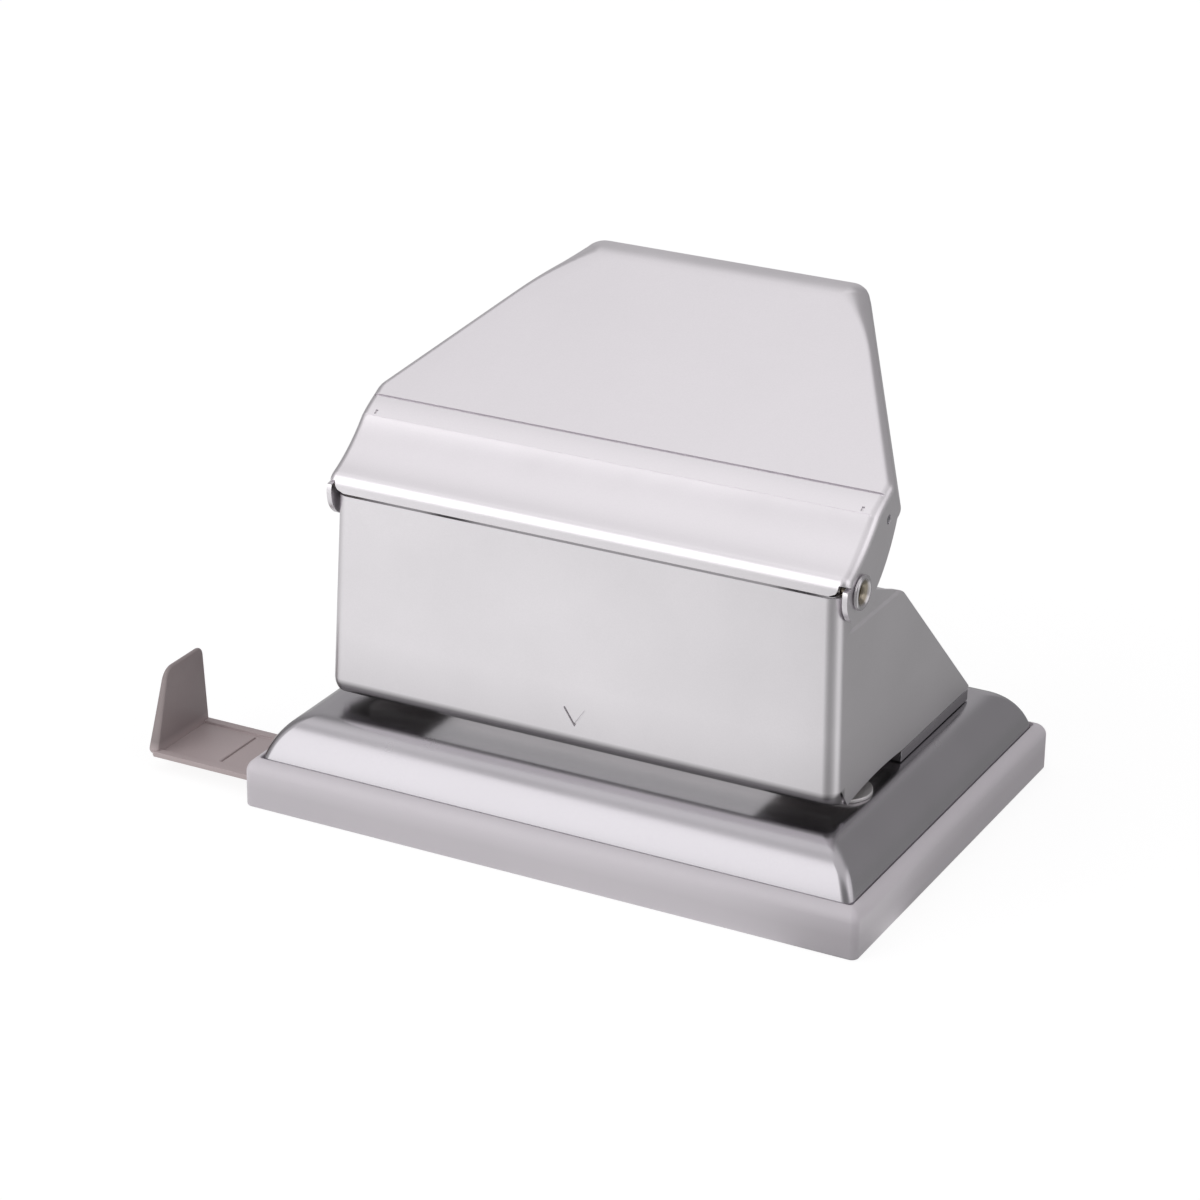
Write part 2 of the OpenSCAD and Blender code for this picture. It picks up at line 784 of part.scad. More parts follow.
// Least gap between curls, measured between points at least half a curl apart
coil_gap = min([for (i = [0 : len(coil_path) - 1], j = [i + coil_rings / 2 : 1 : len(coil_path) - 1])
    norm(coil_path[j] - coil_path[i])]) - wire_d;
echo(return_spring_least_gap = coil_gap);

// Round wire swept along a route that winds round the Z axis
module tube(path, d, sides = 6) {
    n = len(path);
    points = [for (i = [0 : n - 1])
        let (
            t = unit(path[min(i + 1, n - 1)] - path[max(i - 1, 0)]),
            out = unit([path[i][0], path[i][1], 0]),
            up = cross(t, out)
        )
        for (k = [0 : sides - 1])
            path[i] + d / 2 * (cos(360 * k / sides) * out + sin(360 * k / sides) * unit(up))];
    walls = [for (i = [0 : n - 2], k = [0 : sides - 1])
        let (a = i * sides + k, b = i * sides + (k + 1) % sides)
        each [[a, a + sides, b], [b, a + sides, b + sides]]];
    first = [for (k = [1 : sides - 2]) [0, k, k + 1]];
    last = [for (k = [1 : sides - 2]) [for (v = [0, k + 1, k]) (n - 1) * sides + v]];
    polyhedron(points = points, faces = concat(walls, first, last));
}

module return_spring(side) {
    color([0.75, 0.75, 0.78])
        translate([side * punch_x, punch_y, 0])
            tube(coil_path, wire_d);
}

// Upright body of the housing, drawn in by an inset
module housing_body(inset, rear) {
    r = housing_corner_r;
    hull()
        for (z = [base_top, pivot_z + 2 * ear_r], side = [left, right], y = [front_y(z) + r, rear])
            translate([side * (housing_half(z) - r), y, z])
                cylinder(r = r - inset, h = skin, $fn = hull_fn);
}

// Side view of the housing: low arch, rear slope and top edge
roll_z = throat_top + roll_r;
roll_y = front_y(roll_z) + roll_r;
roll_end = 10;

function housing_side() = let (
        front = -housing_front - overrun,
        arch_front = [roll_y + roll_r, throat_top - tip_drop],
        top_front = rear_corner + polar((front_top - rear_corner[1]) / sin(top_slope), 180 - top_slope),
        rear_low = [rear_foot, throat_top]
    ) concat(
        [[front, roll_z], [roll_y, roll_z]],
        bow(arch_front, [back_stop_y, throat_top], arch_rise),
        corner([back_stop_y, throat_top], rear_low, rear_corner, housing_corner_r / 2),
        corner(rear_low, rear_corner, top_front, rear_corner_r),
        [top_front, [front, front_top]]);

module housing_shell() {
    rear = spacer_back + roll_r;
    foot_back = spacer_back - housing_corner_r;
    color([0.78, 0.77, 0.79])
        difference() {
            union() {
                intersection() {
                    difference() {
                        housing_body(0, rear);
                        housing_body(housing_sheet, rear + housing_front);
                    }
                    along_x(2 * housing_w) {
                        polygon(housing_side());
                        translate(pivot)
                            circle(housing_ear_r);
                    }
                }
                along_x(2 * (housing_half(roll_z) - housing_corner_r / 2))
                    polygon(concat(arc([roll_y, roll_z], roll_r, 180, 270 + roll_end),
                        arc([roll_y, roll_z], roll_r - housing_sheet, 270 + roll_end, 180)));
                for (side = [left, right])
                    scale([side, 1, 1])
                        block(foot_rivet_x - housing_foot_w / 2, foot_rivet_x + housing_foot_w / 2 + skin,
                            foot_back - housing_foot_d, foot_back, throat_top, throat_top + housing_sheet);
            }
            cross_bore(rivet_d + 2 * run_gap, pivot_y, pivot_z);
            at_frame_rivets()
                rod(frame_rivet_d + 2 * run_gap, 0, stripper_top);
            centre_mark();
        }
}

// Shallow V on the front face that marks the middle
module centre_mark() {
    depth = housing_sheet / 4;
    tip = base_top + mark_z;
    for (side = [left, right])
        translate([0, front_y(tip + mark_h / 2), 0])
            along_y(2 * depth)
                polygon([[0, tip], [side * mark_w / 2, tip + mark_h],
                    [side * (mark_w / 2 - depth), tip + mark_h], [0, tip + 2 * depth]]);
}

// Sloping sheet that closes the back between the sides, with a foot on the spacer
module rear_cover() {
    low = throat_top - loose_gap;
    top_end = rear_corner + polar(cover_top_d, 180 - top_slope);
    path = concat(
        [[spacer_back - cover_foot_d, low], [rear_foot, low]],
        corner([rear_foot, low], rear_corner, top_end, rear_corner_r),
        [top_end]);
    high = rear_corner[1] + cover_top_d;
    gap = housing_sheet + skin;
    foot_gap = foot_rivet_x - housing_foot_w / 2 - loose_gap;
    color([0.70, 0.70, 0.72])
        difference() {
            intersection() {
                along_x(2 * housing_w)
                    polygon(strip(path, loose_gap, loose_gap + cover_t));
                along_y(2 * tray_d)
                    polygon([for (p = [[left, low], [right, low], [right, high], [left, high]])
                        [p[0] * (housing_half(p[1]) - gap), p[1]]]);
            }
            for (side = [left, right])
                scale([side, 1, 1])
                    block(foot_gap, housing_w, 0, spacer_back - housing_corner_r + loose_gap,
                        low, throat_top + housing_sheet + loose_gap);
            at_frame_rivets()
                rod(frame_rivet_d + 2 * run_gap, 0, stripper_top);
        }
}

// Places on the lever in side view
plate_dir = polar(1, plate_slope);
crease = pivot + [crease_back, crease_up];
knee = crease + heel_back * plate_dir;
heel = knee - heel_depth * turn(plate_dir);
lip_edge = pivot + [-lip_front, lip_rise];
lip_bend = pivot + [-lip_front, lip_h];
bead_foot = crease - bead_w * plate_dir;
ear_open = 60;

// Outer line of the lever's front sheet in side view, from the knee down to the lip
function front_skin() = let (
        apron = bow(bead_foot, lip_bend, apron_hollow),
        last = len(apron) - 1
    ) concat(
        [knee],
        bow(crease, bead_foot, -bead_rise),
        [for (i = [1 : last - 1]) apron[i]],
        corner(apron[last - 1], lip_bend, lip_edge, lip_bend_r),
        [lip_edge]);

// Frame of the sloping plate: X across, Y along it from the crease, Z square to it
module on_plate() {
    translate([0, crease[0], crease[1]])
        rotate([plate_slope, 0, 0])
            children();
}

// Body of the plate, drawn in by an inset, with its folds rounded and its sides reaching down to a depth
module plate_body(inset, depth) {
    centres = offset_path([[lever_half, heel_back], [end_w / 2, plate_l], [0, plate_l]], fold_r);
    hull()
        for (side = [left, right], c = [centres[0], centres[1]])
            translate([side * c[0], c[1], -fold_r]) {
                sphere(r = fold_r - inset, $fn = hull_fn);
                translate([0, 0, fold_r - depth])
                    cylinder(r = fold_r - inset, h = depth - fold_r, $fn = hull_fn);
            }
}

// Front of the lever: bead, hollow apron, lip and the two flanges with their ears
module lever_front() {
    ear_end = pivot + polar(ear_r, -ear_open);
    outside = front_skin();
    inside = offset_path(outside, lever_sheet);
    flange_edge = bow(ear_end, heel, -heel_bow);
    low = pivot_z - 2 * ear_r;
    difference() {
        along_x(2 * lever_half)
            polygon(concat(outside,
                arc(pivot, ear_r, 180, 360 - ear_open, 2 * arc_steps),
                [for (i = [0 : len(flange_edge) - 2]) flange_edge[i]],
                corner(flange_edge[len(flange_edge) - 2], heel, knee, heel_r)));
        along_x(2 * (lever_half - lever_sheet))
            polygon(concat([inside[0] + heel_depth * plate_dir], inside,
                [[pivot_y - 2 * ear_r, lip_edge[1]], [pivot_y - 2 * ear_r, low],
                    [heel[0] + heel_depth, low]]));
    }
}

// Back of the lever: the tapering plate with flanges and lip of falling depth
module lever_back() {
    on_plate()
        intersection() {
            difference() {
                plate_body(0, heel_depth + overrun);
                plate_body(lever_sheet, heel_depth + 2 * overrun);
            }
            along_x(2 * tray_w)
                polygon([[heel_back - skin, fold_r], [heel_back - skin, -heel_depth],
                    [plate_l, -end_lip], [plate_l + fold_r, -end_lip], [plate_l + fold_r, fold_r]]);
        }
}

module lever_handle() {
    groove = crease_depth;
    color([0.76, 0.75, 0.78])
        difference() {
            union() {
                lever_front();
                lever_back();
            }
            on_plate()
                along_x(2 * tray_w)
                    polygon([[-groove, fold_r], [0, -groove], [groove, fold_r]]);
            cross_bore(rivet_d + 2 * run_gap, pivot_y, pivot_z);
            cross_bore(rod_end_d + 2 * run_gap, rod_y, rod_z);
        }
}

// Cross rod that presses both pins, carried in the lever's flanges
module pressure_rod() {
    inner_half = lever_half - lever_sheet - loose_gap;
    color([0.50, 0.50, 0.52])
        translate([0, rod_y, rod_z])
            rotate([0, 90, 0]) {
                cylinder(d = rod_d, h = 2 * inner_half, center = true);
                cylinder(d = rod_end_d, h = 2 * (lever_half - skin), center = true);
            }
}

// Tubular rivet that the lever turns on, flared inside the housing
module pivot_rivet(side) {
    inside = housing_half(pivot_z) - housing_sheet - skin;
    outside = lever_half + run_gap;
    color([0.72, 0.68, 0.58])
        on_side(side, pivot_y, pivot_z)
            difference() {
                union() {
                    rod(rivet_d, inside - rivet_head_t, outside + rivet_head_t);
                    rod(rivet_head_d, outside, outside + rivet_head_t);
                    rod(rivet_d + rivet_head_t, inside - rivet_head_t, inside);
                }
                rod(rivet_bore_d, 0, outside + rivet_head_t + overrun);
            }
}

// Washer that keeps a flange off the housing
module pivot_washer(side) {
    near = housing_half(pivot_z) + skin;
    washer_t = lever_gap - loose_gap;
    color([0.30, 0.30, 0.32])
        on_side(side, pivot_y, pivot_z)
            difference() {
                rod(washer_d, near, near + washer_t);
                rod(rivet_d + 2 * run_gap, 0, near + washer_t + overrun);
            }
}

chip_tray();
paper_stop();
rail_spring();
base_plate();
die_plate();
die_rivets();
throat_spacer();
stripper_plate();
frame_rivets();
guide_bridge();
bridge_rivets();
pin_bush(left);  // pin_bush_left
pin_bush(right);  // pin_bush_right
punch_pin(left);  // punch_pin_left
punch_pin(right);  // punch_pin_right
pin_clip(left);  // pin_clip_left
pin_clip(right);  // pin_clip_right
spring_cap(left);  // spring_cap_left
spring_cap(right);  // spring_cap_right
return_spring(left);  // return_spring_left
return_spring(right);  // return_spring_right
housing_shell();
rear_cover();
lever_handle();
pressure_rod();
pivot_rivet(left);  // pivot_rivet_left
pivot_rivet(right);  // pivot_rivet_right
pivot_washer(left);  // pivot_washer_left
pivot_washer(right);  // pivot_washer_right
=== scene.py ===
"""Desk punch for two filing holes: satin steel lever and housing on a milky tray, dressed for the studio."""

import json
from math import atan2, ceil, cos, pi, radians, sin, sqrt, tan, tau

import bmesh
import bpy
from bpy.props import FloatProperty, FloatVectorProperty, PointerProperty
from bpy.types import Node, NodeSocket, Operator, Panel, PropertyGroup
from mathutils import Matrix, Vector


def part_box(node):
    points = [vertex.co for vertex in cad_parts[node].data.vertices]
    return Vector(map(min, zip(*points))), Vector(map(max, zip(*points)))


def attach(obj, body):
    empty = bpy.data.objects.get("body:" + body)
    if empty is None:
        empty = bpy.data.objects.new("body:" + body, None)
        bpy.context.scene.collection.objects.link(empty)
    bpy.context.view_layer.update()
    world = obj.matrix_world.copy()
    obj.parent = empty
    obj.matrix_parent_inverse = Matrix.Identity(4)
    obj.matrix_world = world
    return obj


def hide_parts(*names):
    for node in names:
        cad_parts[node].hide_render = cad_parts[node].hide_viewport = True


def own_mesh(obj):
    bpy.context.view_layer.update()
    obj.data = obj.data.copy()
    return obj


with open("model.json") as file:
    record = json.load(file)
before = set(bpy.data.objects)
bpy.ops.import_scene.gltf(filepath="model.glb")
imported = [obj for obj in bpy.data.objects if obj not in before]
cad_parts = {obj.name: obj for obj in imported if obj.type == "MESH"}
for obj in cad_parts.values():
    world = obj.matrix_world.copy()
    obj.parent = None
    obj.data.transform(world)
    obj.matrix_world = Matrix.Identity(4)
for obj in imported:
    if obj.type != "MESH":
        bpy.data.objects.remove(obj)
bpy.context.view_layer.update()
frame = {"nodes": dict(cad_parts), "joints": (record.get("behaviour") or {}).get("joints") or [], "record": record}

bl_info = {
    "name": "Two-hole punch",
    "version": (1, 0, 0),
    "blender": (4, 5, 0),
    "location": "3D View > Sidebar > Punch",
    "description": "Builds the dressed pieces of a desk punch around its packed frame",
    "category": "Object",
}

MM = 0.001
QUARTER = pi / 2
# points closer together than this are one point
TOUCH = 1e-7

TRAY_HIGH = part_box("chip_tray")[1]
BASE_LOW, BASE_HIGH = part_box("base_plate")
SHELL_LOW, SHELL_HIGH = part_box("housing_shell")
LEVER_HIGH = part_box("lever_handle")[1]
STOP_LOW, STOP_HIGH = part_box("paper_stop")
SPACER_LOW, SPACER_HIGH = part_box("throat_spacer")
BUSH_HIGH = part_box("pin_bush_right")[1]
CAP_LOW, CAP_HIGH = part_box("spring_cap_right")
ROD_LOW, ROD_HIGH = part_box("pressure_rod")
JOINTS = {joint["name"]: joint for joint in frame["joints"]}
PIVOT = Vector(JOINTS["lever_hinge"]["pos_m"])
# height of the housing's foot over the table, and of its sides' top edge
THROAT = SPACER_HIGH.z
SHELL_TOP = PIVOT.z - 0.2 * MM


# ---------------------------------------------------------------- settings


def length(name, description, default):
    """Length setting with its default in millimetres."""
    return FloatProperty(
        name=name, description=description, default=default * MM,
        unit="LENGTH", subtype="DISTANCE", precision=5,
    )


def angle(name, description, default):
    """Angle setting with its default in degrees."""
    return FloatProperty(
        name=name, description=description, default=radians(default), unit="ROTATION", subtype="ANGLE"
    )


def power(name, description, default):
    """Lamp setting in watts."""
    return FloatProperty(name=name, description=description, default=default, unit="POWER", precision=5)


def share(name, description, default, high=1.0):
    """Plain number from nought up."""
    return FloatProperty(name=name, description=description, default=default, min=0.0, max=high)


def tint(name, description, default):
    """Colour setting."""
    return FloatVectorProperty(
        name=name, description=description, default=default, subtype="COLOR", size=3, min=0.0, max=1.0
    )


class PUNCH_PG_lever(PropertyGroup):
    """Sizes of the lever"""

    sheet: length("Sheet", "Thickness of the lever sheet", 1.1)
    fold: length("Side fold", "Outer radius of the folds along the sides", 2.0)
    end_fold: length("End fold", "Drop of the fold at the free end", 3.5)
    end_run: length("End run", "Run of the fold at the free end", 6.0)
    corner: length("Free corner", "Rounding of the free corners in plan", 4.5)
    slope: angle("Slope", "Slope of the plate", 28.9)
    crease_back: length("Crease back", "Distance of the crease behind the pivot", 11.7)
    crease_up: length("Crease up", "Height of the crease above the pivot", 16.0)
    groove: length("Groove", "Depth of the crease line", 0.6)
    groove_width: length("Groove width", "Width of the crease line", 0.7)
    bead: length("Bead", "Width of the bead in front of the crease", 5.4)
    bead_rise: length("Bead rise", "Rise of the bead over its chord", 0.1)
    bead_tilt: angle("Bead tilt", "How much steeper the bead is than the plate", 2.5)
    hollow: length("Hollow", "Depth of the hollow in the apron", 0.9)
    lip_front: length("Lip", "Distance of the lip in front of the pivot", 6.1)
    lip_bend: length("Lip bend", "Height of the bend above the lip, from the pivot", 3.8)
    lip_rise: length("Lip edge", "Height of the lip's edge above the pivot", 0.5)
    lip_corner: length("Lip corner", "Rounding of the lip's lower corners", 2.2)
    plate: length("Plate", "Length of the plate from the crease to its free end", 54.6)
    knee: length("Knee", "Distance behind the crease at which the plate starts to taper", 3.4)
    end_width: length("End width", "Width of the plate at its free end", 62.0)
    end_lip: length("End lip", "Depth of the lip at the free end", 5.5)
    heel: length("Heel", "Depth of the flanges at the knee", 8.3)
    ear: length("Ear", "Radius of the ears round the pivot", 6.1)
    back_bulge: length("Back bulge", "Bulge of the flanges' back edge", 1.8)
    rod_hole: length("Rod hole", "Diameter of the pressure rod's holes", 2.0)
    rivet_hole: length("Rivet hole", "Diameter of the pivot rivets' holes", 4.1)


class PUNCH_PG_housing(PropertyGroup):
    """Sizes of housing, centre mark and rear cover"""

    half: length("Half width", "Half the width at the base plate", 58.0)
    front: length("Front", "Distance of the front face's foot in front of the origin", 35.4)
    lean: angle("Lean", "Lean of the front and the sides", 1.8)
    sheet: length("Sheet", "Thickness of the sheet", 1.2)
    fold: length("Fold", "Outer radius of the upright folds", 3.0)
    roll: length("Roll", "Radius of the roll along the front's foot", 3.0)
    hem: length("Hem", "Width of the flat hem behind the roll", 1.3)
    top_slope: angle("Top slope", "Slope of the sides' top edge", 20.4)
    rear_front: length("Rear corner front", "Distance of the rear corner in front of the origin", 3.3)
    rear_drop: length("Rear drop", "Drop of the rear corner below the front's top edge", 8.9)
    rear_round: length("Rear rounding", "Rounding of the rear corner", 9.0)
    arch: length("Arch", "Rise of the arch below the sides", 0.8)
    tip_drop: length("Tip drop", "Drop of the sides' front tips", 0.8)
    slit: length("Slit", "Width of the slit between roll and side at its top", 0.15)
    slit_wide: length("Slit foot", "Width of the slit at its foot", 0.35)
    joggle: length("Joggle", "Inward step of the sides' top zone", 0.45)
    joggle_up: length("Joggle place", "Height of the joggle above the rear corner", 0.2)
    ear: length("Ear seat", "Radius of the seat that the pivot rivets have in the sides' edge", 3.1)
    mark_up: length("Mark foot", "Height of the centre mark's tip above the base plate", 8.9)
    mark_half: length("Mark half width", "Half the width of the centre mark", 2.4)
    mark_height: length("Mark height", "Height of the centre mark", 3.5)
    mark_line: length("Mark line", "Width of the centre mark's lines", 0.46)
    mark_depth: length("Mark depth", "Depth of the centre mark", 0.4)
    cover: length("Cover", "Thickness of the rear cover", 1.0)
    cover_gap: length("Cover gap", "Gap between the rear cover and what it closes", 0.3)


class PUNCH_PG_base(PropertyGroup):
    """Sizes of base plate and spacer"""

    run: length("Skirt run", "Width of the rounded skirt", 9.6)
    sink: length("Sink", "How far the skirt's foot and the tray's lip lie below their seats", 1.1)
    foot_lean: angle("Foot lean", "Lean of the skirt at its foot", 20.0)
    corner: length("Corner", "Radius of the skirt's upright corners", 2.2)
    sheet: length("Sheet", "Thickness of the base sheet", 1.2)
    joint: length("Joint", "Height of the joint between spacer and housing", 0.45)
    pin_hole: length("Pin hole", "Diameter of the holes for the pins", 6.4)


class PUNCH_PG_tray(PropertyGroup):
    """Sizes of the chip tray"""

    edge: length("Lip rounding", "Radius of the lip's outer edge", 3.0)
    foot: length("Foot rounding", "Radius of the edge that stands on the table", 0.5)
    corner: length("Corner", "Radius of the upright corners", 1.5)
    seat_corner: length("Seat corner", "Radius of the corners round the base plate", 0.8)
    lip: length("Lip", "Width of the lip round the base plate", 2.38)
    ledge: length("Ledge", "Width of the ledge under the base plate's edge", 2.4)
    ledge_drop: length("Ledge drop", "Depth of the ledge below the lip", 1.0)
    ledge_thick: length("Ledge thickness", "Thickness of the ledge", 1.2)
    wall: length("Wall", "Thickness of the walls", 2.0)
    floor: length("Floor", "Thickness of the floor", 3.0)
    slack: length("Rail slack", "Slack of the rail in its window", 0.3)
    window: length("Window", "Height of the rail's window over the floor", 1.8)
    guide: length("Guide", "Thickness of the rail's guides", 1.5)
    hook: length("Hook", "Reach of the guides' hooks over the rail", 0.7)
    hook_thick: length("Hook thickness", "Thickness of the guides' hooks", 0.75)
    rear_gap: length("Rear gap", "Room for the leaf spring behind the rail", 1.2)


class PUNCH_PG_stop(PropertyGroup):
    """Sizes of the paper stop"""

    heel: length("Heel", "Distance of the upright's foot from the rail's end", 0.5)
    chamfer: length("Chamfer", "Chamfer of the rail's front corner below the upright", 1.7)
    lean: length("Lean", "Lean of the upright's inner face", 0.4)
    upright: length("Upright foot", "Thickness of the upright at its foot", 2.5)
    upright_top: length("Upright top", "Thickness of the upright at its top", 1.2)
    top_width: length("Top width", "Width of the upright's top edge", 13.4)
    top_back: length("Top back", "Distance of the top edge from the rail's rear edge", 1.2)
    rail: length("Rail", "Height of the rail's edge lips", 1.2)
    lip: length("Edge lip", "Width of the rail's edge lips", 2.0)
    web: length("Web", "Thickness of the rail's web", 0.7)
    groove: length("Groove place", "Distance of the rail's cross groove from the stop", 13.4)
    groove_width: length("Groove width", "Width of the cross groove", 0.6)
    groove_depth: length("Groove depth", "Depth of the cross groove", 0.5)


class PUNCH_PG_springs(PropertyGroup):
    """Sizes and places of the return springs"""

    wire: length("Wire", "Diameter of the spring wire", 0.9)
    coil: length("Coil", "Diameter of the coil over its outside", 9.2)
    turns: FloatProperty(name="Curls", description="Number of curls", default=9.0)
    spacing: length("Pin spacing", "Spacing of the punch pins", 80.0)
    front: length("Pin place", "Distance of the pins in front of the origin", 14.0)


class PUNCH_PG_finish(PropertyGroup):
    """Colours of metals and plastics"""

    nickel: tint("Satin nickel", "Colour of lever and housing", (0.79, 0.765, 0.79))
    # painted shade: a darker copy of the satin nickel, standing in for the shade under the housing's overhang on
    # base plate and spacer
    nickel_base_painted_shade: tint("Base nickel", "Colour of the base plate", (0.462, 0.448, 0.47))
    zinc: tint("Zinc", "Colour of the frame's inner steel parts", (0.74, 0.72, 0.72))
    tool: tint("Tool steel", "Colour of pins and rod", (0.34, 0.34, 0.36))
    spring: tint("Spring steel", "Colour of springs and clips", (0.46, 0.46, 0.48))
    brass: tint("Brass", "Colour of the guide bushes", (0.72, 0.58, 0.34))
    pivot: tint("Pivot", "Colour of the pivot rivets", (0.60, 0.53, 0.42))
    tray: tint("Tray", "Colour of the tray's plastic", (0.56, 0.53, 0.56))
    stop: tint("Stop", "Colour of the paper stop's plastic", (0.29, 0.245, 0.245))


class PUNCH_PG_stage(PropertyGroup):
    """Lamps, room and camera angles"""

    key: power("Key", "Power of the front softbox", 3.6)
    top: power("Top", "Power of the overhead softbox", 0.65)
    fill: power("Throat fill", "Power of the small lamp in the throat", 0.0020)
    room: share("Room", "Brightness of the room behind the punch", 0.36, 4.0)
    sky: share("Sky", "Brightness of the room overhead and in front", 0.86, 4.0)
    # painted reflection: strength of the table's glow round the housing's front corner
    table: share("Table", "Brightness of the table in reflections", 1.0, 4.0)
    camera_gap: share("Camera gap", "Share of light left round the camera, where no lamp stands", 0.35)
    back: share("Back", "Brightness added low behind the punch", 0.2, 4.0)
    strip: share("Strip", "Brightness of the light strip on the right", 0.75, 4.0)
    paper: share("Paper", "Brightness of the floor towards the camera", 0.86, 2.0)
    azimuth: angle("Azimuth", "Camera's direction round the punch", 27.514)
    elevation: angle("Elevation", "Camera's height angle", 23.147)
    roll: angle("Roll", "Camera's roll", -0.764)


# ---------------------------------------------------------------- plane geometry


def clamp(t):
    return max(0.0, min(1.0, t))


def smooth(t):
    """Step from 0 to 1 with soft ends."""
    t = clamp(t)
    return t * t * (3 - 2 * t)


def polar(r, a):
    """Point at a radius and an angle."""
    return Vector((r * cos(a), r * sin(a)))


def arc(centre, r, a0, a1, steps):
    """Points round a centre from one angle to another."""
    return [centre + polar(r, a0 + (a1 - a0) * i / steps) for i in range(steps + 1)]


def circle(centre, r, steps=40):
    return [centre + polar(r, tau * i / steps) for i in range(steps)]


def quarter(steps):
    """Angles of a quarter turn."""
    return [QUARTER * i / steps for i in range(steps + 1)]


def rounded(before, at, after, r, steps):
    """Corner between two straight runs, rounded by an arc."""
    u, v = (before - at).normalized(), (after - at).normalized()
    half = u.angle(v) / 2
    if r <= 0 or half > 1.56:
        return [at.copy()]
    centre = at + (u + v).normalized() * (r / sin(half))
    start, end = at + u * (r / tan(half)) - centre, at + v * (r / tan(half)) - centre
    a0, a1 = atan2(start.y, start.x), atan2(end.y, end.x)
    return arc(centre, r, a0, a0 + (a1 - a0 + pi) % tau - pi, steps)


def bow(p, q, rise, steps=12):
    """Shallow bow from p to q that rises to its left."""
    side = Vector((p.y - q.y, q.x - p.x)).normalized()
    shares = [i / steps for i in range(steps + 1)]
    return [p.lerp(q, t) + side * (4 * rise * t * (1 - t)) for t in shares]


def spread(points, step):
    """Points on the same line with no gap longer than a step."""
    out = [points[0]]
    for p, q in zip(points, points[1:]):
        n = max(1, ceil((q - p).length / step))
        out += [p.lerp(q, i / n) for i in range(1, n + 1)]
    return out


def neighbours(items, i):
    """Items before and after a place in an open row."""
    return items[max(i - 1, 0)], items[min(i + 1, len(items) - 1)]


def normals(points):
    """Unit vectors to the left of a path at each of its points."""
    out = []
    for i in range(len(points)):
        before, after = neighbours(points, i)
        way = (after - before).normalized()
        out.append(Vector((-way.y, way.x)))
    return out


def mirrored(points):
    """The same points on the other side of the punch."""
    return [Vector((-p[0], *p[1:])) for p in points]


def row_across(half, y, z, steps):
    """Level row of points from one side of the punch to the other."""
    return [Vector((half * (1 - 2 * k / steps), y, z)) for k in range(steps + 1)]


def ring_of(half_x, half_y, r, z, steps=8, run=12):
    """Points round a rounded rectangle, the same number at every size."""
    out = []
    for sx, sy, start in ((1, 1, 0), (-1, 1, 90), (-1, -1, 180), (1, -1, 270)):
        for i in range(steps + 1):
            a = radians(start + 90 * i / steps)
            out.append(Vector((sx * (half_x - r) + r * cos(a), sy * (half_y - r) + r * sin(a), z)))
    full = []
    for i, p in enumerate(out):
        full.append(p)
        if i % (steps + 1) == steps:
            q = out[(i + 1) % len(out)]
            full += [p.lerp(q, k / run) for k in range(1, run)]
    return full


# ---------------------------------------------------------------- mesh helpers


class Skin:
    """Faces of an outer skin, gathered row by row."""

    def __init__(self):
        self.mesh = bmesh.new()

    def face(self, verts):
        """Adds a face, leaving out points that coincide with the one before."""
        ring = []
        for v in verts:
            if not ring or (v.co - ring[-1].co).length > TOUCH:
                ring.append(v)
        while len(ring) > 2 and (ring[0].co - ring[-1].co).length < TOUCH:
            ring.pop()
        if len(ring) > 2:
            self.mesh.faces.new(ring)

    def grid(self, rows, closed=False):
        """Adds the faces between neighbouring rows of points."""
        rows = [[self.mesh.verts.new(p) for p in row] for row in rows]
        for a, b in zip(rows, rows[1:]):
            n = len(a)
            for i in range(n if closed else n - 1):
                j = (i + 1) % n
                self.face([a[i], a[j], b[j], b[i]])

    def sheet(self, points):
        """Adds one flat face."""
        self.face([self.mesh.verts.new(p) for p in points])

    def prism(self, rings):
        """Closed skin through rings of points, with a flat face at each end."""
        self.grid(rings, closed=True)
        self.sheet(reversed(rings[0]))
        self.sheet(rings[-1])

    def mesh_object(self, name, weld=TOUCH):
        """Joins points closer than the weld and makes an object of the skin."""
        bmesh.ops.remove_doubles(self.mesh, verts=self.mesh.verts, dist=weld)
        bmesh.ops.recalc_face_normals(self.mesh, faces=self.mesh.faces)
        return mesh_object(name, self.mesh)


def link(obj):
    bpy.context.scene.collection.objects.link(obj)
    return obj


def mesh_object(name, work):
    """Turns a work mesh into an object of the scene."""
    data = bpy.data.meshes.new(name)
    work.to_mesh(data)
    work.free()
    return link(bpy.data.objects.new(name, data))


def settle(obj):
    """Applies an object's modifiers."""
    bpy.context.view_layer.update()
    graph = bpy.context.evaluated_depsgraph_get()
    data = bpy.data.meshes.new_from_object(
        obj.evaluated_get(graph), preserve_all_data_layers=True, depsgraph=graph
    )
    obj.modifiers.clear()
    old = obj.data
    obj.data = data
    data.name = obj.name
    bpy.data.meshes.remove(old)


def facing_out(obj, inside):
    """Turns the faces so that they look away from a point inside."""
    if sum(f.area * f.normal.dot(f.center - inside) for f in obj.data.polygons) < 0:
        obj.data.flip_normals()


def thicken(obj, sheet):
    """Gives an open skin its sheet thickness towards the inside."""
    sliver, tightest = 1e-11, 0.65
    work = bmesh.new()
    work.from_mesh(obj.data)
    faces, rim = list(work.faces), [e for e in work.edges if e.is_boundary]
    inner = {}
    for v in list(work.verts):
        loops = [loop for loop in v.link_loops if loop.face.calc_area() > sliver]
        ways = [(loop.face.normal, loop.calc_angle()) for loop in loops]
        way = sum((n * weight for n, weight in ways), Vector()).normalized()
        reach = max(tightest, min((way.dot(n) for n, _ in ways), default=1.0))
        inner[v] = work.verts.new(v.co - way * (sheet / reach))
    for face in faces:
        work.faces.new([inner[v] for v in reversed(face.verts)])
    for edge in rim:
        a, b = (loop.vert for loop in (edge.link_loops[0], edge.link_loops[0].link_loop_next))
        work.faces.new([b, a, inner[a], inner[b]])
    work.to_mesh(obj.data)
    work.free()


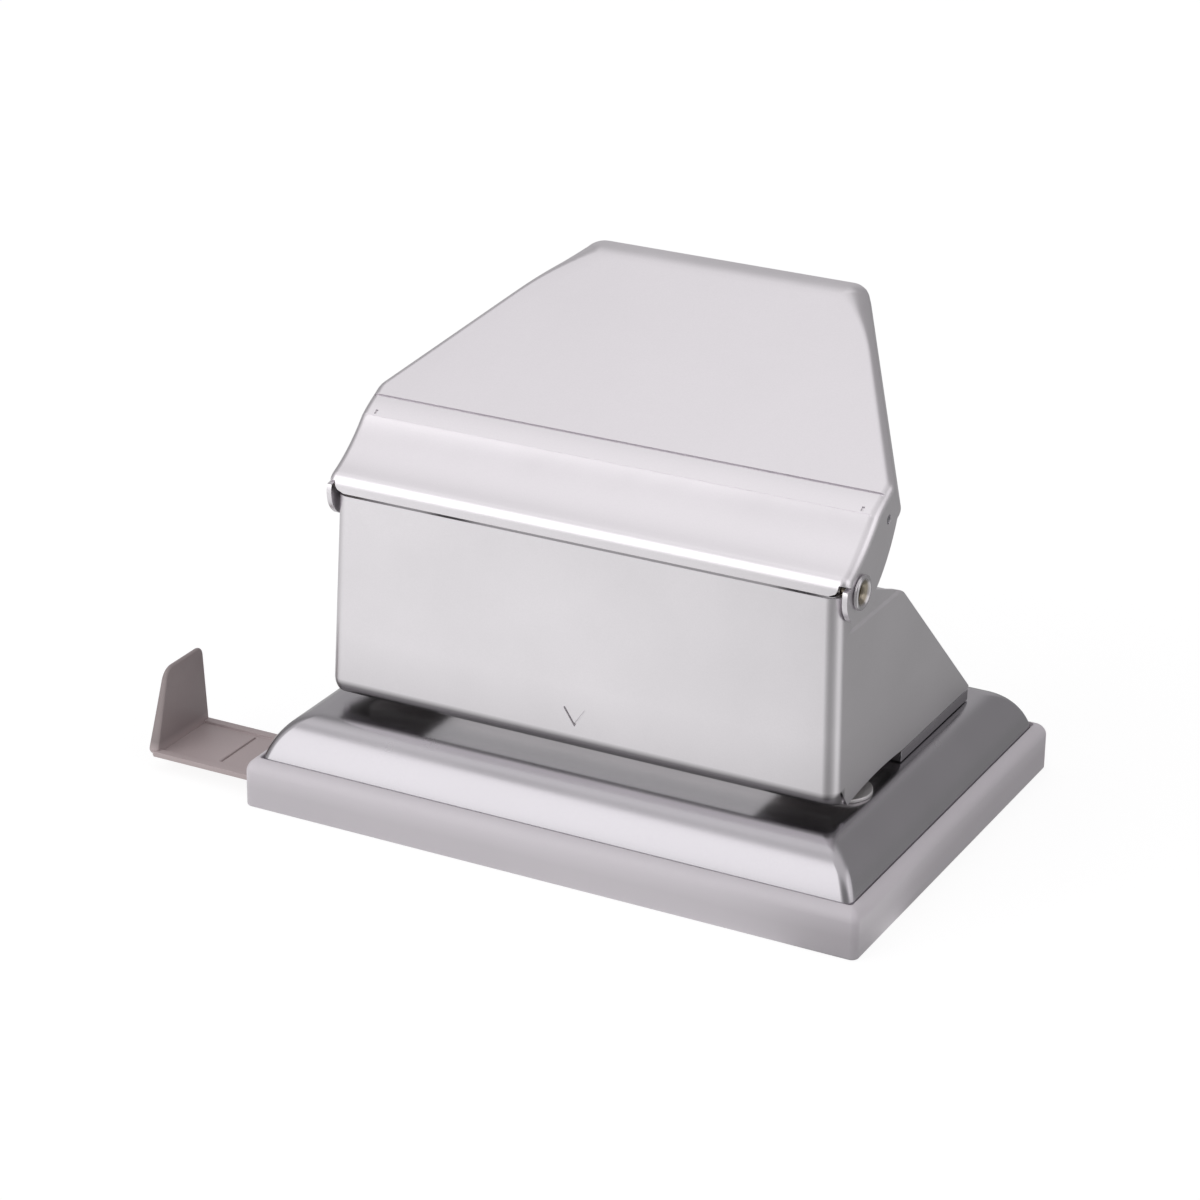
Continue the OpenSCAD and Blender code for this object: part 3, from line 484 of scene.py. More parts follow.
def cut(obj, *cutters):
    """Cuts pieces out of a mesh and removes the cutters."""
    for cutter in cutters:
        mod = obj.modifiers.new("Cut", "BOOLEAN")
        mod.operation = "DIFFERENCE"
        mod.solver = "EXACT"
        mod.object = cutter
        settle(obj)
        bpy.data.objects.remove(cutter)


def soften(obj, width=0.0, corner=40):
    """Rounds the sharp edges, keeps flat faces flat in shading and settles the mesh."""
    shaded_sharp = radians(50)
    if width:
        mod = obj.modifiers.new("Edges", "BEVEL")
        mod.width = width
        mod.segments = 2
        mod.limit_method = "ANGLE"
        mod.angle_limit = radians(corner)
        mod.miter_outer = "MITER_ARC"
        mod.use_clamp_overlap = True
        settle(obj)
    for face in obj.data.polygons:
        face.use_smooth = True
    work = bmesh.new()
    work.from_mesh(obj.data)
    for edge in work.edges:
        edge.smooth = len(edge.link_faces) == 2 and edge.calc_face_angle(0) < shaded_sharp
    work.to_mesh(obj.data)
    work.free()
    mod = obj.modifiers.new("Shading", "WEIGHTED_NORMAL")
    mod.keep_sharp = True
    mod.weight = 80
    settle(obj)


def bar(name, ring, low, high, axis="X"):
    """Closed prism over a ring of points, drawn out along an axis."""
    place = {
        "X": lambda p, t: Vector((t, p[0], p[1])),
        "Y": lambda p, t: Vector((p[0], t, p[1])),
        "Z": lambda p, t: Vector((p[0], p[1], t)),
    }[axis]
    skin = Skin()
    skin.prism([[place(p, t) for p in ring] for t in (low, high)])
    return skin.mesh_object(name)


def box_ring(u0, v0, u1, v1):
    """Corners of a rectangle, for a bar."""
    return [Vector(p) for p in ((u0, v0), (u1, v0), (u1, v1), (u0, v1))]


def drill(name, y, z, diameter, reach):
    """Round bar across the punch that cuts a hole through both its sides."""
    return bar(name, circle(Vector((y, z)), diameter / 2), -reach, reach)


def lathe(name, profile, at, axis, steps=56):
    """Closed turned piece: profile of radius and height, on an axis through a place."""
    turn = Vector((0, 0, 1)).rotation_difference(Vector(axis)).to_matrix()
    rows = []
    for i in range(steps):
        a = tau * i / steps
        rows.append([at + turn @ Vector((r * cos(a), r * sin(a), h)) for r, h in profile])
    skin = Skin()
    skin.grid(rows + [rows[0]], closed=True)
    return skin.mesh_object(name, weld=0.001 * MM)


def join(name, *objects):
    """One piece from the meshes of several."""
    work = bmesh.new()
    for obj in objects:
        work.from_mesh(obj.data)
        bpy.data.objects.remove(obj)
    return mesh_object(name, work)


# ---------------------------------------------------------------- materials


class Nodes:
    """Short hand for building a node tree."""

    def __init__(self, tree):
        self.tree = tree

    def link(self, value, socket):
        """Joins a node or a socket to a socket, or sets a plain value on it."""
        if isinstance(value, Node):
            value = value.outputs[0]
        if isinstance(value, NodeSocket):
            self.tree.links.new(value, socket)
        else:
            socket.default_value = value

    def node(self, kind, inputs=None, **settings):
        """Adds a node with its settings, and with values or links for its inputs."""
        made = self.tree.nodes.new(kind)
        for key, value in settings.items():
            setattr(made, key, value)
        for key, value in (inputs or {}).items():
            self.link(value, made.inputs[key])
        return made

    def ramp(self, value, low, high, to_low, to_high, **settings):
        ends = {"From Min": low, "From Max": high, "To Min": to_low, "To Max": to_high}
        return self.node("ShaderNodeMapRange", {"Value": value, **ends}, **settings).outputs["Result"]

    def math(self, operation, a, b):
        return self.node("ShaderNodeMath", {0: a, 1: b}, operation=operation).outputs["Value"]

    def vector(self, operation, a, b):
        return self.node("ShaderNodeVectorMath", {0: a, 1: b}, operation=operation)


class Paint(Nodes):
    """Short hand for a material on a plain surface shader."""

    def __init__(self, name, colour, metallic, roughness, extra=None):
        self.material = bpy.data.materials.new(name)
        self.material.use_nodes = True
        super().__init__(self.material.node_tree)
        self.surface = self.tree.nodes["Principled BSDF"].inputs
        values = {"Base Color": (*colour, 1.0), "Metallic": metallic, "Roughness": roughness, **(extra or {})}
        for socket, value in values.items():
            self.surface[socket].default_value = value
        self.place = self.node("ShaderNodeTexCoord").outputs["Object"]

    def axes(self):
        """Place on the piece, split into X, Y and Z."""
        return self.node("ShaderNodeSeparateXYZ", {"Vector": self.place}).outputs

    def stretched(self, scale):
        return self.node("ShaderNodeMapping", {"Vector": self.place, "Scale": scale}).outputs["Vector"]

    def noise(self, scale, detail=3.0, rough=0.6, stretch=None):
        place = self.stretched(stretch) if stretch else self.place
        inputs = {"Scale": scale, "Detail": detail, "Roughness": rough, "Vector": place}
        return self.node("ShaderNodeTexNoise", inputs).outputs["Fac"]

    def mix(self, factor, a, b):
        a, b = (colour if isinstance(colour, NodeSocket) else (*colour, 1.0) for colour in (a, b))
        inputs = {"Factor": factor, "A": a, "B": b}
        return self.node("ShaderNodeMix", inputs, data_type="RGBA").outputs["Result"]

    def clouded(self, clouds, dark, light):
        """Colour that drifts between two tones."""
        return self.mix(self.ramp(clouds, 0.3, 0.7, 0.0, 1.0), dark, light)

    def finish(self, tone, roughness, grain, strength, depth=0.02 * MM):
        """Joins colour, roughness and a fine relief to the surface."""
        relief = {"Strength": strength, "Distance": depth, "Height": grain}
        self.link(tone, self.surface["Base Color"])
        self.link(roughness, self.surface["Roughness"])
        self.link(self.node("ShaderNodeBump", relief), self.surface["Normal"])
        return self


def shade(colour, factor):
    """Darker or lighter colour."""
    return tuple(min(1.0, c * factor) for c in colour)


def satin_metal(name, colour, roughness, grain=0.35):
    """Plated sheet with a fine matt grain, faint clouds and a little handling wear."""
    paint = Paint(name, colour, 1.0, roughness)
    clouds = paint.noise(38.0, 4.0, 0.55)
    fine = paint.noise(2600.0, 2.0, 0.7)
    tone = paint.clouded(clouds, shade(colour, 0.965), shade(colour, 1.02))
    tone = paint.mix(paint.ramp(fine, 0.35, 0.65, 0.0, 0.10), tone, shade(colour, 0.80))
    wear = paint.ramp(clouds, 0.25, 0.75, roughness - 0.03, roughness + 0.04)
    return paint.finish(tone, wear, fine, grain)


def housing_metal_painted_shade(name, colour, roughness):
    """Satin sheet with painted shade: much darker over the roll along the front's foot, and a little darker over
    the lowest 14 mm of front and sides, where shade falls towards the throat.
    """
    paint = satin_metal(name, colour, roughness)
    place = paint.axes()
    front = SHELL_LOW.y
    # painted shade over the roll: down to 0.36 of the colour below 2.5 mm above the throat, in the front 3 mm of
    # the sheet, fading out by 5 mm
    foot = paint.ramp(place["Z"], THROAT + 2.5 * MM, THROAT + 3.7 * MM, 0.36, 1.0)
    side = paint.ramp(place["Y"], front + 3 * MM, front + 5 * MM, 0.0, 1.0)
    # painted shade low on front and sides: 0.86 of the colour at the throat, full colour 14 mm higher
    face = paint.ramp(place["Z"], THROAT, THROAT + 14 * MM, 0.86, 1.0)
    level = paint.math("MULTIPLY", paint.math("MAXIMUM", foot, side), face)
    base = paint.surface["Base Color"]
    inputs = {0: base.links[0].from_socket, "Scale": level}
    paint.link(paint.node("ShaderNodeVectorMath", inputs, operation="SCALE"), base)
    return paint


def turned_metal(name, colour, roughness):
    """Machined or drawn metal with fine tool marks."""
    paint = Paint(name, colour, 1.0, roughness)
    marks = paint.noise(900.0, 3.0, 0.6, (1.0, 1.0, 6.0))
    tone = paint.clouded(paint.noise(60.0, 3.0, 0.5), shade(colour, 0.86), shade(colour, 1.08))
    return paint.finish(tone, paint.ramp(marks, 0.3, 0.7, roughness - 0.05, roughness + 0.08), marks, 0.3)


def eyelet_metal(name, colour, rim, roughness):
    """Rolled tube end: plated rim, and brass inside the mouth at half its brightness, the rivet's own brass
    darkened as painted shade in the mouth.
    """
    paint = Paint(name, colour, 1.0, roughness)
    from_axis = paint.vector("SUBTRACT", paint.stretched((0.0, 1.0, 1.0)), (0.0, PIVOT.y, PIVOT.z))
    radius = paint.node("ShaderNodeVectorMath", {0: from_axis}, operation="LENGTH").outputs["Value"]
    marks = paint.noise(700.0)
    uneven = paint.math("ADD", radius, paint.ramp(marks, 0.0, 1.0, -0.1 * MM, 0.1 * MM))
    inside = paint.ramp(uneven, 2.3 * MM, 2.75 * MM, 0.0, 1.0)
    # painted shade: inside the mouth the brass tone is halved; the rim takes the nickel tone at 0.75
    tone = paint.mix(inside, shade(colour, 0.5), shade(rim, 0.75))
    return paint.finish(tone, paint.ramp(marks, 0.3, 0.7, roughness - 0.04, roughness + 0.08), marks, 0.3)


def milky_plastic(name, colour):
    """Translucent moulded tray: lighter in its upper part, where light passes the wall."""
    depth = {"Subsurface Weight": 0.18, "Subsurface Radius": (1.0, 0.9, 1.0), "Subsurface Scale": 4 * MM}
    paint = Paint(name, colour, 0.0, 0.42, {**depth, "Coat Weight": 0.12, "Coat Roughness": 0.35})
    clouds = paint.noise(30.0, 4.0, 0.6)
    fine = paint.noise(1500.0, 2.0, 0.6)
    uneven = paint.math("ADD", paint.axes()["Z"], paint.ramp(clouds, 0.0, 1.0, -0.6 * MM, 0.6 * MM))
    # painted light: the tone rises from 0.93 to 1.10 of the colour between 4.6 and 8.2 mm height, for the light
    # that passes the thin wall above the floor
    lit = paint.ramp(uneven, 4.6 * MM, 8.2 * MM, 0.0, 1.0)
    tone = paint.mix(lit, shade(colour, 0.93), shade(colour, 1.10))
    tone = paint.mix(paint.ramp(clouds, 0.35, 0.7, 0.0, 0.25), tone, shade(colour, 1.05))
    return paint.finish(tone, paint.ramp(fine, 0.3, 0.7, 0.38, 0.48), fine, 0.15, 0.03 * MM)


def solid_plastic(name, colour):
    """Opaque moulded plastic with a fine spark-eroded grain, painted lighter along its foot, where light falls on
    the rail.
    """
    paint = Paint(name, colour, 0.0, 0.46)
    fine = paint.noise(2200.0, 2.0, 0.7)
    tone = paint.clouded(paint.noise(50.0, 4.0, 0.6), shade(colour, 0.93), shade(colour, 1.07))
    # painted light: the rail and the upright's foot are lightened up to 0.55 of the way towards twice the colour,
    # below 1.3 mm and fading out by 3 mm
    painted_lit_foot = paint.ramp(paint.axes()["Z"], STOP_LOW.z + 1.3 * MM, STOP_LOW.z + 3 * MM, 0.55, 0.0)
    tone = paint.mix(painted_lit_foot, tone, shade(colour, 2.0))
    return paint.finish(tone, paint.ramp(fine, 0.3, 0.7, 0.42, 0.54), fine, 0.35, 0.04 * MM)


MATERIALS = {}


def material(key):
    """Material of a finish, made when it is first asked for."""
    finish = bpy.context.scene.punch_finish
    makers = {
        "satin": lambda: satin_metal("satin_nickel", finish.nickel, 0.33),
        # housing: satin nickel with painted shade towards the throat
        "housing": lambda: housing_metal_painted_shade("housing_nickel", finish.nickel, 0.33),
        # base plate and spacer: the darker copy of the satin nickel, with painted shade
        "base": lambda: satin_metal("base_nickel", finish.nickel_base_painted_shade, 0.24, 0.2),
        "zinc": lambda: satin_metal("zinc_plate", finish.zinc, 0.6, 0.5),
        "rivet": lambda: turned_metal("rivet_zinc", shade(finish.zinc, 0.8), 0.34),
        "tool": lambda: turned_metal("ground_steel", finish.tool, 0.22),
        "spring": lambda: turned_metal("spring_steel", finish.spring, 0.3),
        "washer": lambda: turned_metal("dull_washer", shade(finish.tool, 0.8), 0.5),
        "brass": lambda: turned_metal("turned_brass", finish.brass, 0.28),
        "pivot": lambda: eyelet_metal("brassy_rivet", finish.pivot, finish.nickel, 0.22),
        "tray": lambda: milky_plastic("milky_tray", finish.tray),
        "stop": lambda: solid_plastic("taupe_stop", finish.stop),
    }
    if key not in MATERIALS:
        MATERIALS[key] = makers[key]().material
    return MATERIALS[key]


def dress(obj, key, slot, body, *nodes):
    """Gives a piece its material and the body it rides on, and hides the nodes it stands for; the slot is not
    used.
    """
    obj.data.materials.clear()
    obj.data.materials.append(material(key))
    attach(obj, body)
    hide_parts(*nodes)
    return {"FINISHED"}


# ---------------------------------------------------------------- lever


LEVER_ACROSS, LEVER_FOLD = 14, 8
EAR_FOOT = radians(-60)


def lever_path(s):
    """Side view of the lever's top from the lip's edge up to the crease, and the plate's directions."""
    pivot = PIVOT.yz
    along = polar(1.0, s.slope)
    up = Vector((-along.y, along.x))
    crease = pivot + Vector((s.crease_back, s.crease_up))
    edge = pivot + Vector((-s.lip_front, s.lip_rise))
    bend = pivot + Vector((-s.lip_front, s.lip_bend))
    foot = crease - polar(s.bead, s.slope + s.bead_tilt)
    apron = bow(bend, foot, -s.hollow, 14)
    bead = bow(foot, crease, s.bead_rise, 16)
    front = [edge] + rounded(edge, bend, apron[1], 3.0 * MM, 12) + apron[2:-1]
    front += rounded(apron[-2], foot, bead[2], 0.5 * MM, 4) + bead[3:]
    front += [crease + along * (0.6 * MM), crease + along * (1.3 * MM)]
    # points that crowd or turn back on the lip are left out
    kept = [front[0]]
    for p in front[1:]:
        if (p - kept[-1]).length > 0.11 * MM and (p - kept[-1]).dot(p - front[0]) > 0:
            kept.append(p)
    return spread(kept, 0.9 * MM), crease, along, up


def eased(ways, rounds=6):
    """Directions averaged with their neighbours, so that the side folds run smoothly."""
    for _ in range(rounds):
        pairs = [neighbours(ways, i) for i in range(len(ways))]
        ways = [(before + way * 2 + after).normalized() for way, (before, after) in zip(ways, pairs)]
    return ways


def lever_front(s, path):
    """Rows across lip, apron and bead, and the fold beside each row on the right."""
    half, r = LEVER_HIGH.x, s.fold
    lip = path[0]
    rows, folds = [], []
    for p, way in zip(path, eased(normals(path))):
        above = p.y - lip.y
        notch = 0.0
        if p.x < lip.x + 1.5 * MM and above < s.lip_corner:
            notch = r - sqrt(max(0.0, r * r - (r * (1 - above / s.lip_corner)) ** 2))
        rows.append(row_across(half - r - notch, p.x, p.y, LEVER_ACROSS))
        if notch <= 0.0:
            folds.append([
                Vector((half - r + r * sin(a), *(p - way * (r * (1 - cos(a)))))) for a in quarter(LEVER_FOLD)
            ])
    return rows, folds


def plate_edge(s, start):
    """Outer and inner points of the fold in plan, from the crease past the knee to the free corner."""
    half, r = LEVER_HIGH.x, s.fold
    begin, knee, corner = Vector((half, start)), Vector((half, s.knee)), Vector((s.end_width / 2, s.plate))
    side = (corner - knee).normalized()
    out = Vector((side.y, -side.x))
    free = rounded(knee, corner, Vector((0, s.plate)), s.corner, 10)
    inner = Vector((free[-1].x - 0.4 * MM, s.plate - s.end_run))
    widest = (corner - inner).dot(out)
    bend = rounded(begin, knee, corner, 5.0 * MM, 8)
    edge = [(q, Vector((half - r, q.y))) for q in spread([begin, bend[0]], 1.5 * MM)[:-1]]
    for i, q in enumerate(bend):
        way = Vector((1, 0)).lerp(out, i / (len(bend) - 1)).normalized()
        edge.append((q, q - way * r))
    # the fold grows wider over its last stretch, up to the corner
    last = inner + out * widest
    for q in spread([bend[-1], last], 2 * MM)[1:]:
        grown = max(0.0, 1 - (last.y - q.y) / (16 * MM)) ** 2
        edge.append((q, q - out * (r + (widest - r) * grown)))
    end = Vector((inner.x, s.plate))
    around = spread([last, free[0]], MM)[1:-1] + free + spread([free[-1], end], MM)[1:]
    return edge + [(q, inner) for q in around], inner


def lever_rim(place, outer, inner, drop, depth):
    """Fold and flange that hang from one point of the plate's edge."""
    steps = 3
    fold = [place(*inner.lerp(outer, sin(a)), -drop * (1 - cos(a))) for a in quarter(LEVER_FOLD)]
    return fold + [place(*outer, -drop - (depth - drop) * k / steps) for k in range(1, steps + 1)]


def lever_flange(s, column, down):
    """Outline of the flat flange in front of the knee, with its ear round the pivot."""
    pivot = PIVOT.yz
    back = bow(down[-1].yz, pivot + polar(s.ear, EAR_FOOT), s.back_bulge)[1:-1]
    ear_top = pi - atan2(column[0].z - pivot.y - 0.3 * MM, s.ear)
    ear = arc(pivot, s.ear, EAR_FOOT, ear_top - tau, 26)
    return column + down + [Vector((LEVER_HIGH.x, *q)) for q in back + ear]


def lever_cutters(s, crease, along, up):
    """Crease line, line at the bead's foot, two small dents and the holes for rod and rivets."""
    half = LEVER_HIGH.x
    line_end, reach = half - 0.9 * MM, half + 5 * MM
    tilt = s.slope + s.bead_tilt
    bead_foot, dent_at = crease - polar(s.bead, tilt), crease - polar(s.bead - MM, tilt)
    dent = [half - s.fold - 1.9 * MM, half - s.fold - 1.3 * MM]
    lines = (
        ("cutter_crease", crease, s.groove_width, s.groove, -line_end, line_end),
        ("cutter_foot", bead_foot, 0.24 * MM, 0.1 * MM, -line_end, line_end),
        ("cutter_dent_right", dent_at, 1.5 * MM, 0.3 * MM, dent[0], dent[1]),
        ("cutter_dent_left", dent_at, 1.5 * MM, 0.3 * MM, -dent[1], -dent[0]),
    )
    for name, at, width, depth, x0, x1 in lines:
        top, bottom = along * width / 2, along * width / 3
        over, under = up * MM, up * depth
        yield bar(name, [at - top + over, at - bottom - under, at + bottom - under, at + top + over], x0, x1)
    yield drill("cutter_rod", (ROD_LOW.y + ROD_HIGH.y) / 2, (ROD_LOW.z + ROD_HIGH.z) / 2, s.rod_hole, reach)
    yield drill("cutter_pivot", PIVOT.y, PIVOT.z, s.rivet_hole, reach)


class PUNCH_OT_lever(Operator):
    """Build the lever: apron, bead, crease, tapering plate and flanges in one folded sheet"""

    bl_idname = "punch.lever"
    bl_label = "Lever"

    def execute(self, context):
        s = context.scene.punch_lever
        path, crease, along, up = lever_path(s)

        def place(x, u, w):
            p = crease + along * u + up * w
            return Vector((x, p.x, p.y))

        rows, folds = lever_front(s, path)
        edge, corner = plate_edge(s, (path[-1] - crease).dot(along))
        rims, seen = [], None
        for outer, inner in edge:
            run = clamp((outer.y - s.knee) / (s.plate - s.knee))
            depth = s.heel + (s.end_lip - s.heel) * run
            rims.append(lever_rim(place, outer, inner, min(s.end_fold, (outer - inner).length), depth))
            if seen is None or abs(inner.y - seen) > 0.001 * MM:
                seen = inner.y
                _, y, z = place(0, seen, 0)
                rows.append(row_across(inner.x, y, z, LEVER_ACROSS))
        ends = [
            lever_rim(place, Vector((p.x, s.plate)), Vector((p.x, corner.y)), s.end_fold, s.end_lip)
            for p in row_across(corner.x, 0, 0, LEVER_ACROSS)[1:-1]
        ]
        folds[-1], down = rims[0][: LEVER_FOLD + 1], rims[0][LEVER_FOLD + 1 :]
        flange = lever_flange(s, [line[-1] for line in folds], down)
        skin = Skin()
        skin.grid(rows)
        skin.grid(folds)
        skin.grid([mirrored(line) for line in folds])
        skin.grid(rims + ends + [mirrored(line) for line in reversed(rims)])
        skin.sheet(flange)
        skin.sheet(mirrored(reversed(flange)))
        lever = skin.mesh_object("lever_sheet", weld=0.004 * MM)
        facing_out(lever, Vector((0, crease.x, crease.y - 12 * MM)))
        thicken(lever, s.sheet)
        cut(lever, *lever_cutters(s, crease, along, up))
        soften(lever, 0.12 * MM, 45)
        return dress(lever, "satin", "satin_steel", "lever", "lever_handle")


# ---------------------------------------------------------------- housing


def housing_half(s, z):
    """Half the housing's width at a height."""
    return s.half - tan(s.lean) * (z - BASE_HIGH.z)


def front_line(s, z):
    """Place of the housing's front face at a height."""
    return -s.front + tan(s.lean) * (z - BASE_HIGH.z)


def rear_corner(s):
    """Corner at which the sides' top edge turns down to the rear."""
    return Vector((-s.rear_front, SHELL_TOP - s.rear_drop))


def front_path(s, notch):
    """Side view of the front, from its top edge down and round the roll at its foot."""
    roll = Vector((front_line(s, notch) + s.roll, notch))
    face = [Vector((front_line(s, z), z)) for z in (SHELL_TOP, (SHELL_TOP + notch) / 2, notch + 0.4 * MM)]
    curl = arc(roll, s.roll, radians(179), radians(278), 16)
    return spread(face, 4 * MM) + curl + [curl[-1] + Vector((s.hem, 0.05 * MM))]


def front_rows(s, path, notch, tip):
    """Rows across the front with its upright folds, and the folds' rear line above the notches."""
    r = s.fold
    apex = Vector((front_line(s, notch) + r, notch))
    roll_tip = tip + Vector((-0.3 * MM, 0.35 * MM))
    below = sum(p.y < notch for p in path)
    rows, edge, done = [], [], 0
    for p in path:
        z = p.y
        h = housing_half(s, max(z, notch))
        slit = deep = sink = 0.0
        if z < notch + 0.2 * MM:
            slit = s.slit + (s.slit_wide - s.slit) * clamp((notch - z) / s.roll)
        if z < notch:
            # the roll's end follows the side's slanting lower edge
            done += 1
            end = apex.lerp(roll_tip, done / below)
            deep, sink = end.x - slit - p.x, end.y - z
        else:
            deep = r
        bend = [
            Vector((h - r + (r - slit) * sin(a), p.x + deep * (1 - cos(a)), z + sink * (1 - cos(a))))
            for a in quarter(10)[1:]
        ]
        rows.append(mirrored(reversed(bend)) + row_across(r - h, p.x, z, 10) + bend)
        if not slit:
            edge.append(Vector((bend[-1].y, z)))
    return rows, edge


def side_outline(s, edge, tip):
    """Outline of a flat side, from the front fold round its top, its rear and its arched foot."""
    rear, pivot = rear_corner(s), PIVOT.yz
    top_front = rear + polar(s.rear_drop / sin(s.top_slope), pi - s.top_slope)
    rear_low, stop = Vector((SPACER_HIGH.y + s.cover_gap, THROAT)), Vector((SPACER_LOW.y, THROAT))
    outline = list(reversed(edge))
    if edge[0].x < pivot.x - s.ear:
        outline += arc(pivot, s.ear, radians(177), radians(3), 16)
    outline += [top_front] + rounded(top_front, rear, rear_low, s.rear_round, 14)
    return outline + rounded(rear, rear_low, stop, 0.4 * MM, 4) + bow(stop, tip, -s.arch)


def split_sides(mesh, place, way):
    """Adds a line of edges where a plane crosses the flat sides."""
    sides = [f for f in mesh.faces if abs(f.normal.x) > 0.98]
    edges = {e for f in sides for e in f.edges}
    verts = {v for f in sides for v in f.verts}
    bmesh.ops.bisect_plane(mesh, geom=[*sides, *edges, *verts], plane_co=place, plane_no=way, dist=TOUCH)


def joggle_sides(s, mesh):
    """Steps the sides' top zone inwards behind the pivot, over a short slope."""
    line, start = SHELL_TOP - s.rear_drop + s.joggle_up, PIVOT.y - 2 * MM
    rise, run = 0.8 * MM, 3.6 * MM
    for k in (-2, -1, 0, 1, 2):
        split_sides(mesh, Vector((0, 0, line + k * rise / 4)), Vector((0, 0, 1)))
    for k in range(4):
        split_sides(mesh, Vector((0, start + k * run / 3, 0)), Vector((0, 1, 0)))
    for v in mesh.verts:
        high = smooth((v.co.z - line + rise / 2) / rise) * smooth((v.co.y - start) / run)
        v.co.x -= (s.joggle * high) * (1 if v.co.x > 0 else -1)


def mark_cutter(s):
    """Cutter for the centre mark: two shallow grooves that meet in a point."""
    foot = BASE_HIGH.z + s.mark_up
    g = s.mark_line / 2
    arm = Vector((s.mark_half, s.mark_height))
    n = Vector((-arm.y, arm.x)).normalized() * g
    reach = Vector((0, g * arm.length / arm.x))
    ends = (arm - n, arm + n)
    ring = [-reach, *ends, reach, *mirrored(reversed(ends))]
    y = front_line(s, foot + s.mark_height / 2)
    return bar("cutter_mark", [p + Vector((0, foot)) for p in ring], y - 2 * MM, y + s.mark_depth, "Y")


class PUNCH_OT_housing(Operator):
    """Build the folded housing with its rolled foot, its notched corners and its centre mark"""

    bl_idname = "punch.housing"
    bl_label = "Housing"

    def execute(self, context):
        s = context.scene.punch_housing
        notch = THROAT + s.roll
        tip = Vector((front_line(s, notch) + 2 * s.roll, THROAT - s.tip_drop))
        rows, edge = front_rows(s, front_path(s, notch), notch, tip)
        side = [Vector((housing_half(s, q.y), *q)) for q in side_outline(s, edge, tip)]
        skin = Skin()
        skin.grid(rows)
        skin.sheet(side)
        skin.sheet(mirrored(reversed(side)))
        bmesh.ops.remove_doubles(skin.mesh, verts=skin.mesh.verts, dist=0.005 * MM)
        joggle_sides(s, skin.mesh)
        shell = skin.mesh_object("housing_sheet", weld=0.005 * MM)
        facing_out(shell, Vector((0, 0, 40 * MM)))
        thicken(shell, s.sheet)
        rivet_hole = context.scene.punch_lever.rivet_hole
        cut(shell, drill("cutter_pivot", PIVOT.y, PIVOT.z, rivet_hole, s.half + 5 * MM), mark_cutter(s))
        soften(shell, 0.2 * MM, 45)
        return dress(shell, "housing", "satin_steel", "punch", "housing_shell")


class PUNCH_OT_cover(Operator):
    """Build the rear cover that closes the back between the housing's sides"""

    bl_idname = "punch.cover"
    bl_label = "Rear cover"

    def execute(self, context):
        s = context.scene.punch_housing
        gap = s.cover_gap
        rear, foot = rear_corner(s), Vector((SPACER_HIGH.y + gap, THROAT - gap))
        front, top_end = Vector((SPACER_HIGH.y - 13 * MM, foot.y)), rear + polar(6 * MM, pi - s.top_slope)
        spine = [front, *rounded(front, foot, rear, 0.6 * MM, 4)]
        spine += [*rounded(foot, rear, top_end, s.rear_round, 18), top_end]
        spine = [p + n * gap for p, n in zip(spine, normals(spine))]
        # the flange along its foot is narrower in front
        low, back = THROAT + s.sheet + MM, SPACER_HIGH.y - 2.5 * MM
        narrow = (CAP_LOW.x + CAP_HIGH.x) / 2 + 7.2 * MM
        rows = []
        for p in spread(spine, 5 * MM):
            half = housing_half(s, p.y) - s.sheet - 0.15 * MM
            if p.y < low and p.x < back:
                half = min(half, narrow)
            rows.append(row_across(half, p.x, p.y, 8))
        skin = Skin()
        skin.grid(rows)
        cover = skin.mesh_object("rear_cover_sheet", weld=0.005 * MM)
        facing_out(cover, Vector((0, 10 * MM, 30 * MM)))
        thicken(cover, s.cover)
        soften(cover, 0.18 * MM, 45)
        return dress(cover, "satin", "satin_steel", "punch", "rear_cover")


# ---------------------------------------------------------------- base, tray and stop


class PUNCH_OT_base(Operator):
    """Build the pressed base plate with its rounded skirt"""

    bl_idname = "punch.base"
    bl_label = "Base plate"

    def execute(self, context):
        s = context.scene.punch_base
        low, lean = BASE_LOW.z - s.sink, s.foot_lean
        rise = BASE_HIGH.z - low

        def level(a, inward):
            inset = s.run * (1 - cos(a) / cos(lean)) + inward * cos(a)
            z = low + rise * (sin(a) - sin(lean)) / (1 - sin(lean)) - inward * sin(a)
            r = max(0.6 * MM, s.corner - inward * 0.8)
            return ring_of(BASE_HIGH.x - inset, BASE_HIGH.y - inset, r, z, steps=7)

        steps = 18
        angles = [lean + (QUARTER - lean) * i / steps for i in range(steps + 1)]
        outer = [level(a, 0.0) for a in angles]
        inner = [level(a, s.sheet) for a in reversed(angles)]
        skin = Skin()
        skin.grid(outer, closed=True)
        skin.sheet(outer[-1])
        skin.grid(inner, closed=True)
        skin.sheet(reversed(inner[0]))
        skin.grid([inner[-1], outer[0]], closed=True)
        base = skin.mesh_object("base_pressing", weld=0.002 * MM)
        pins = context.scene.punch_springs
        for x in (-pins.spacing / 2, pins.spacing / 2):
            hole = circle(Vector((x, -pins.front)), s.pin_hole / 2)
            cut(base, bar("cutter_die", hole, low, BASE_HIGH.z + MM, "Z"))
        soften(base, 0.15 * MM, 60)
        return dress(base, "base", "base_steel", "punch", "base_plate")


class PUNCH_OT_spacer(Operator):
    """Build the spacer under the housing's sides, with a fine joint above and below it"""

    bl_idname = "punch.spacer"
    bl_label = "Throat spacer"

    def execute(self, context):
        joint = context.scene.punch_base.joint
        half = SPACER_HIGH.x - joint / 2
        ring = box_ring(-half, SPACER_LOW.y, half, SPACER_HIGH.y)
        spacer = bar("spacer_bar", ring, SPACER_LOW.z + joint / 2, SPACER_HIGH.z - joint, "Z")
        soften(spacer, 0.1 * MM)
        return dress(spacer, "base", "base_steel", "punch", "throat_spacer")


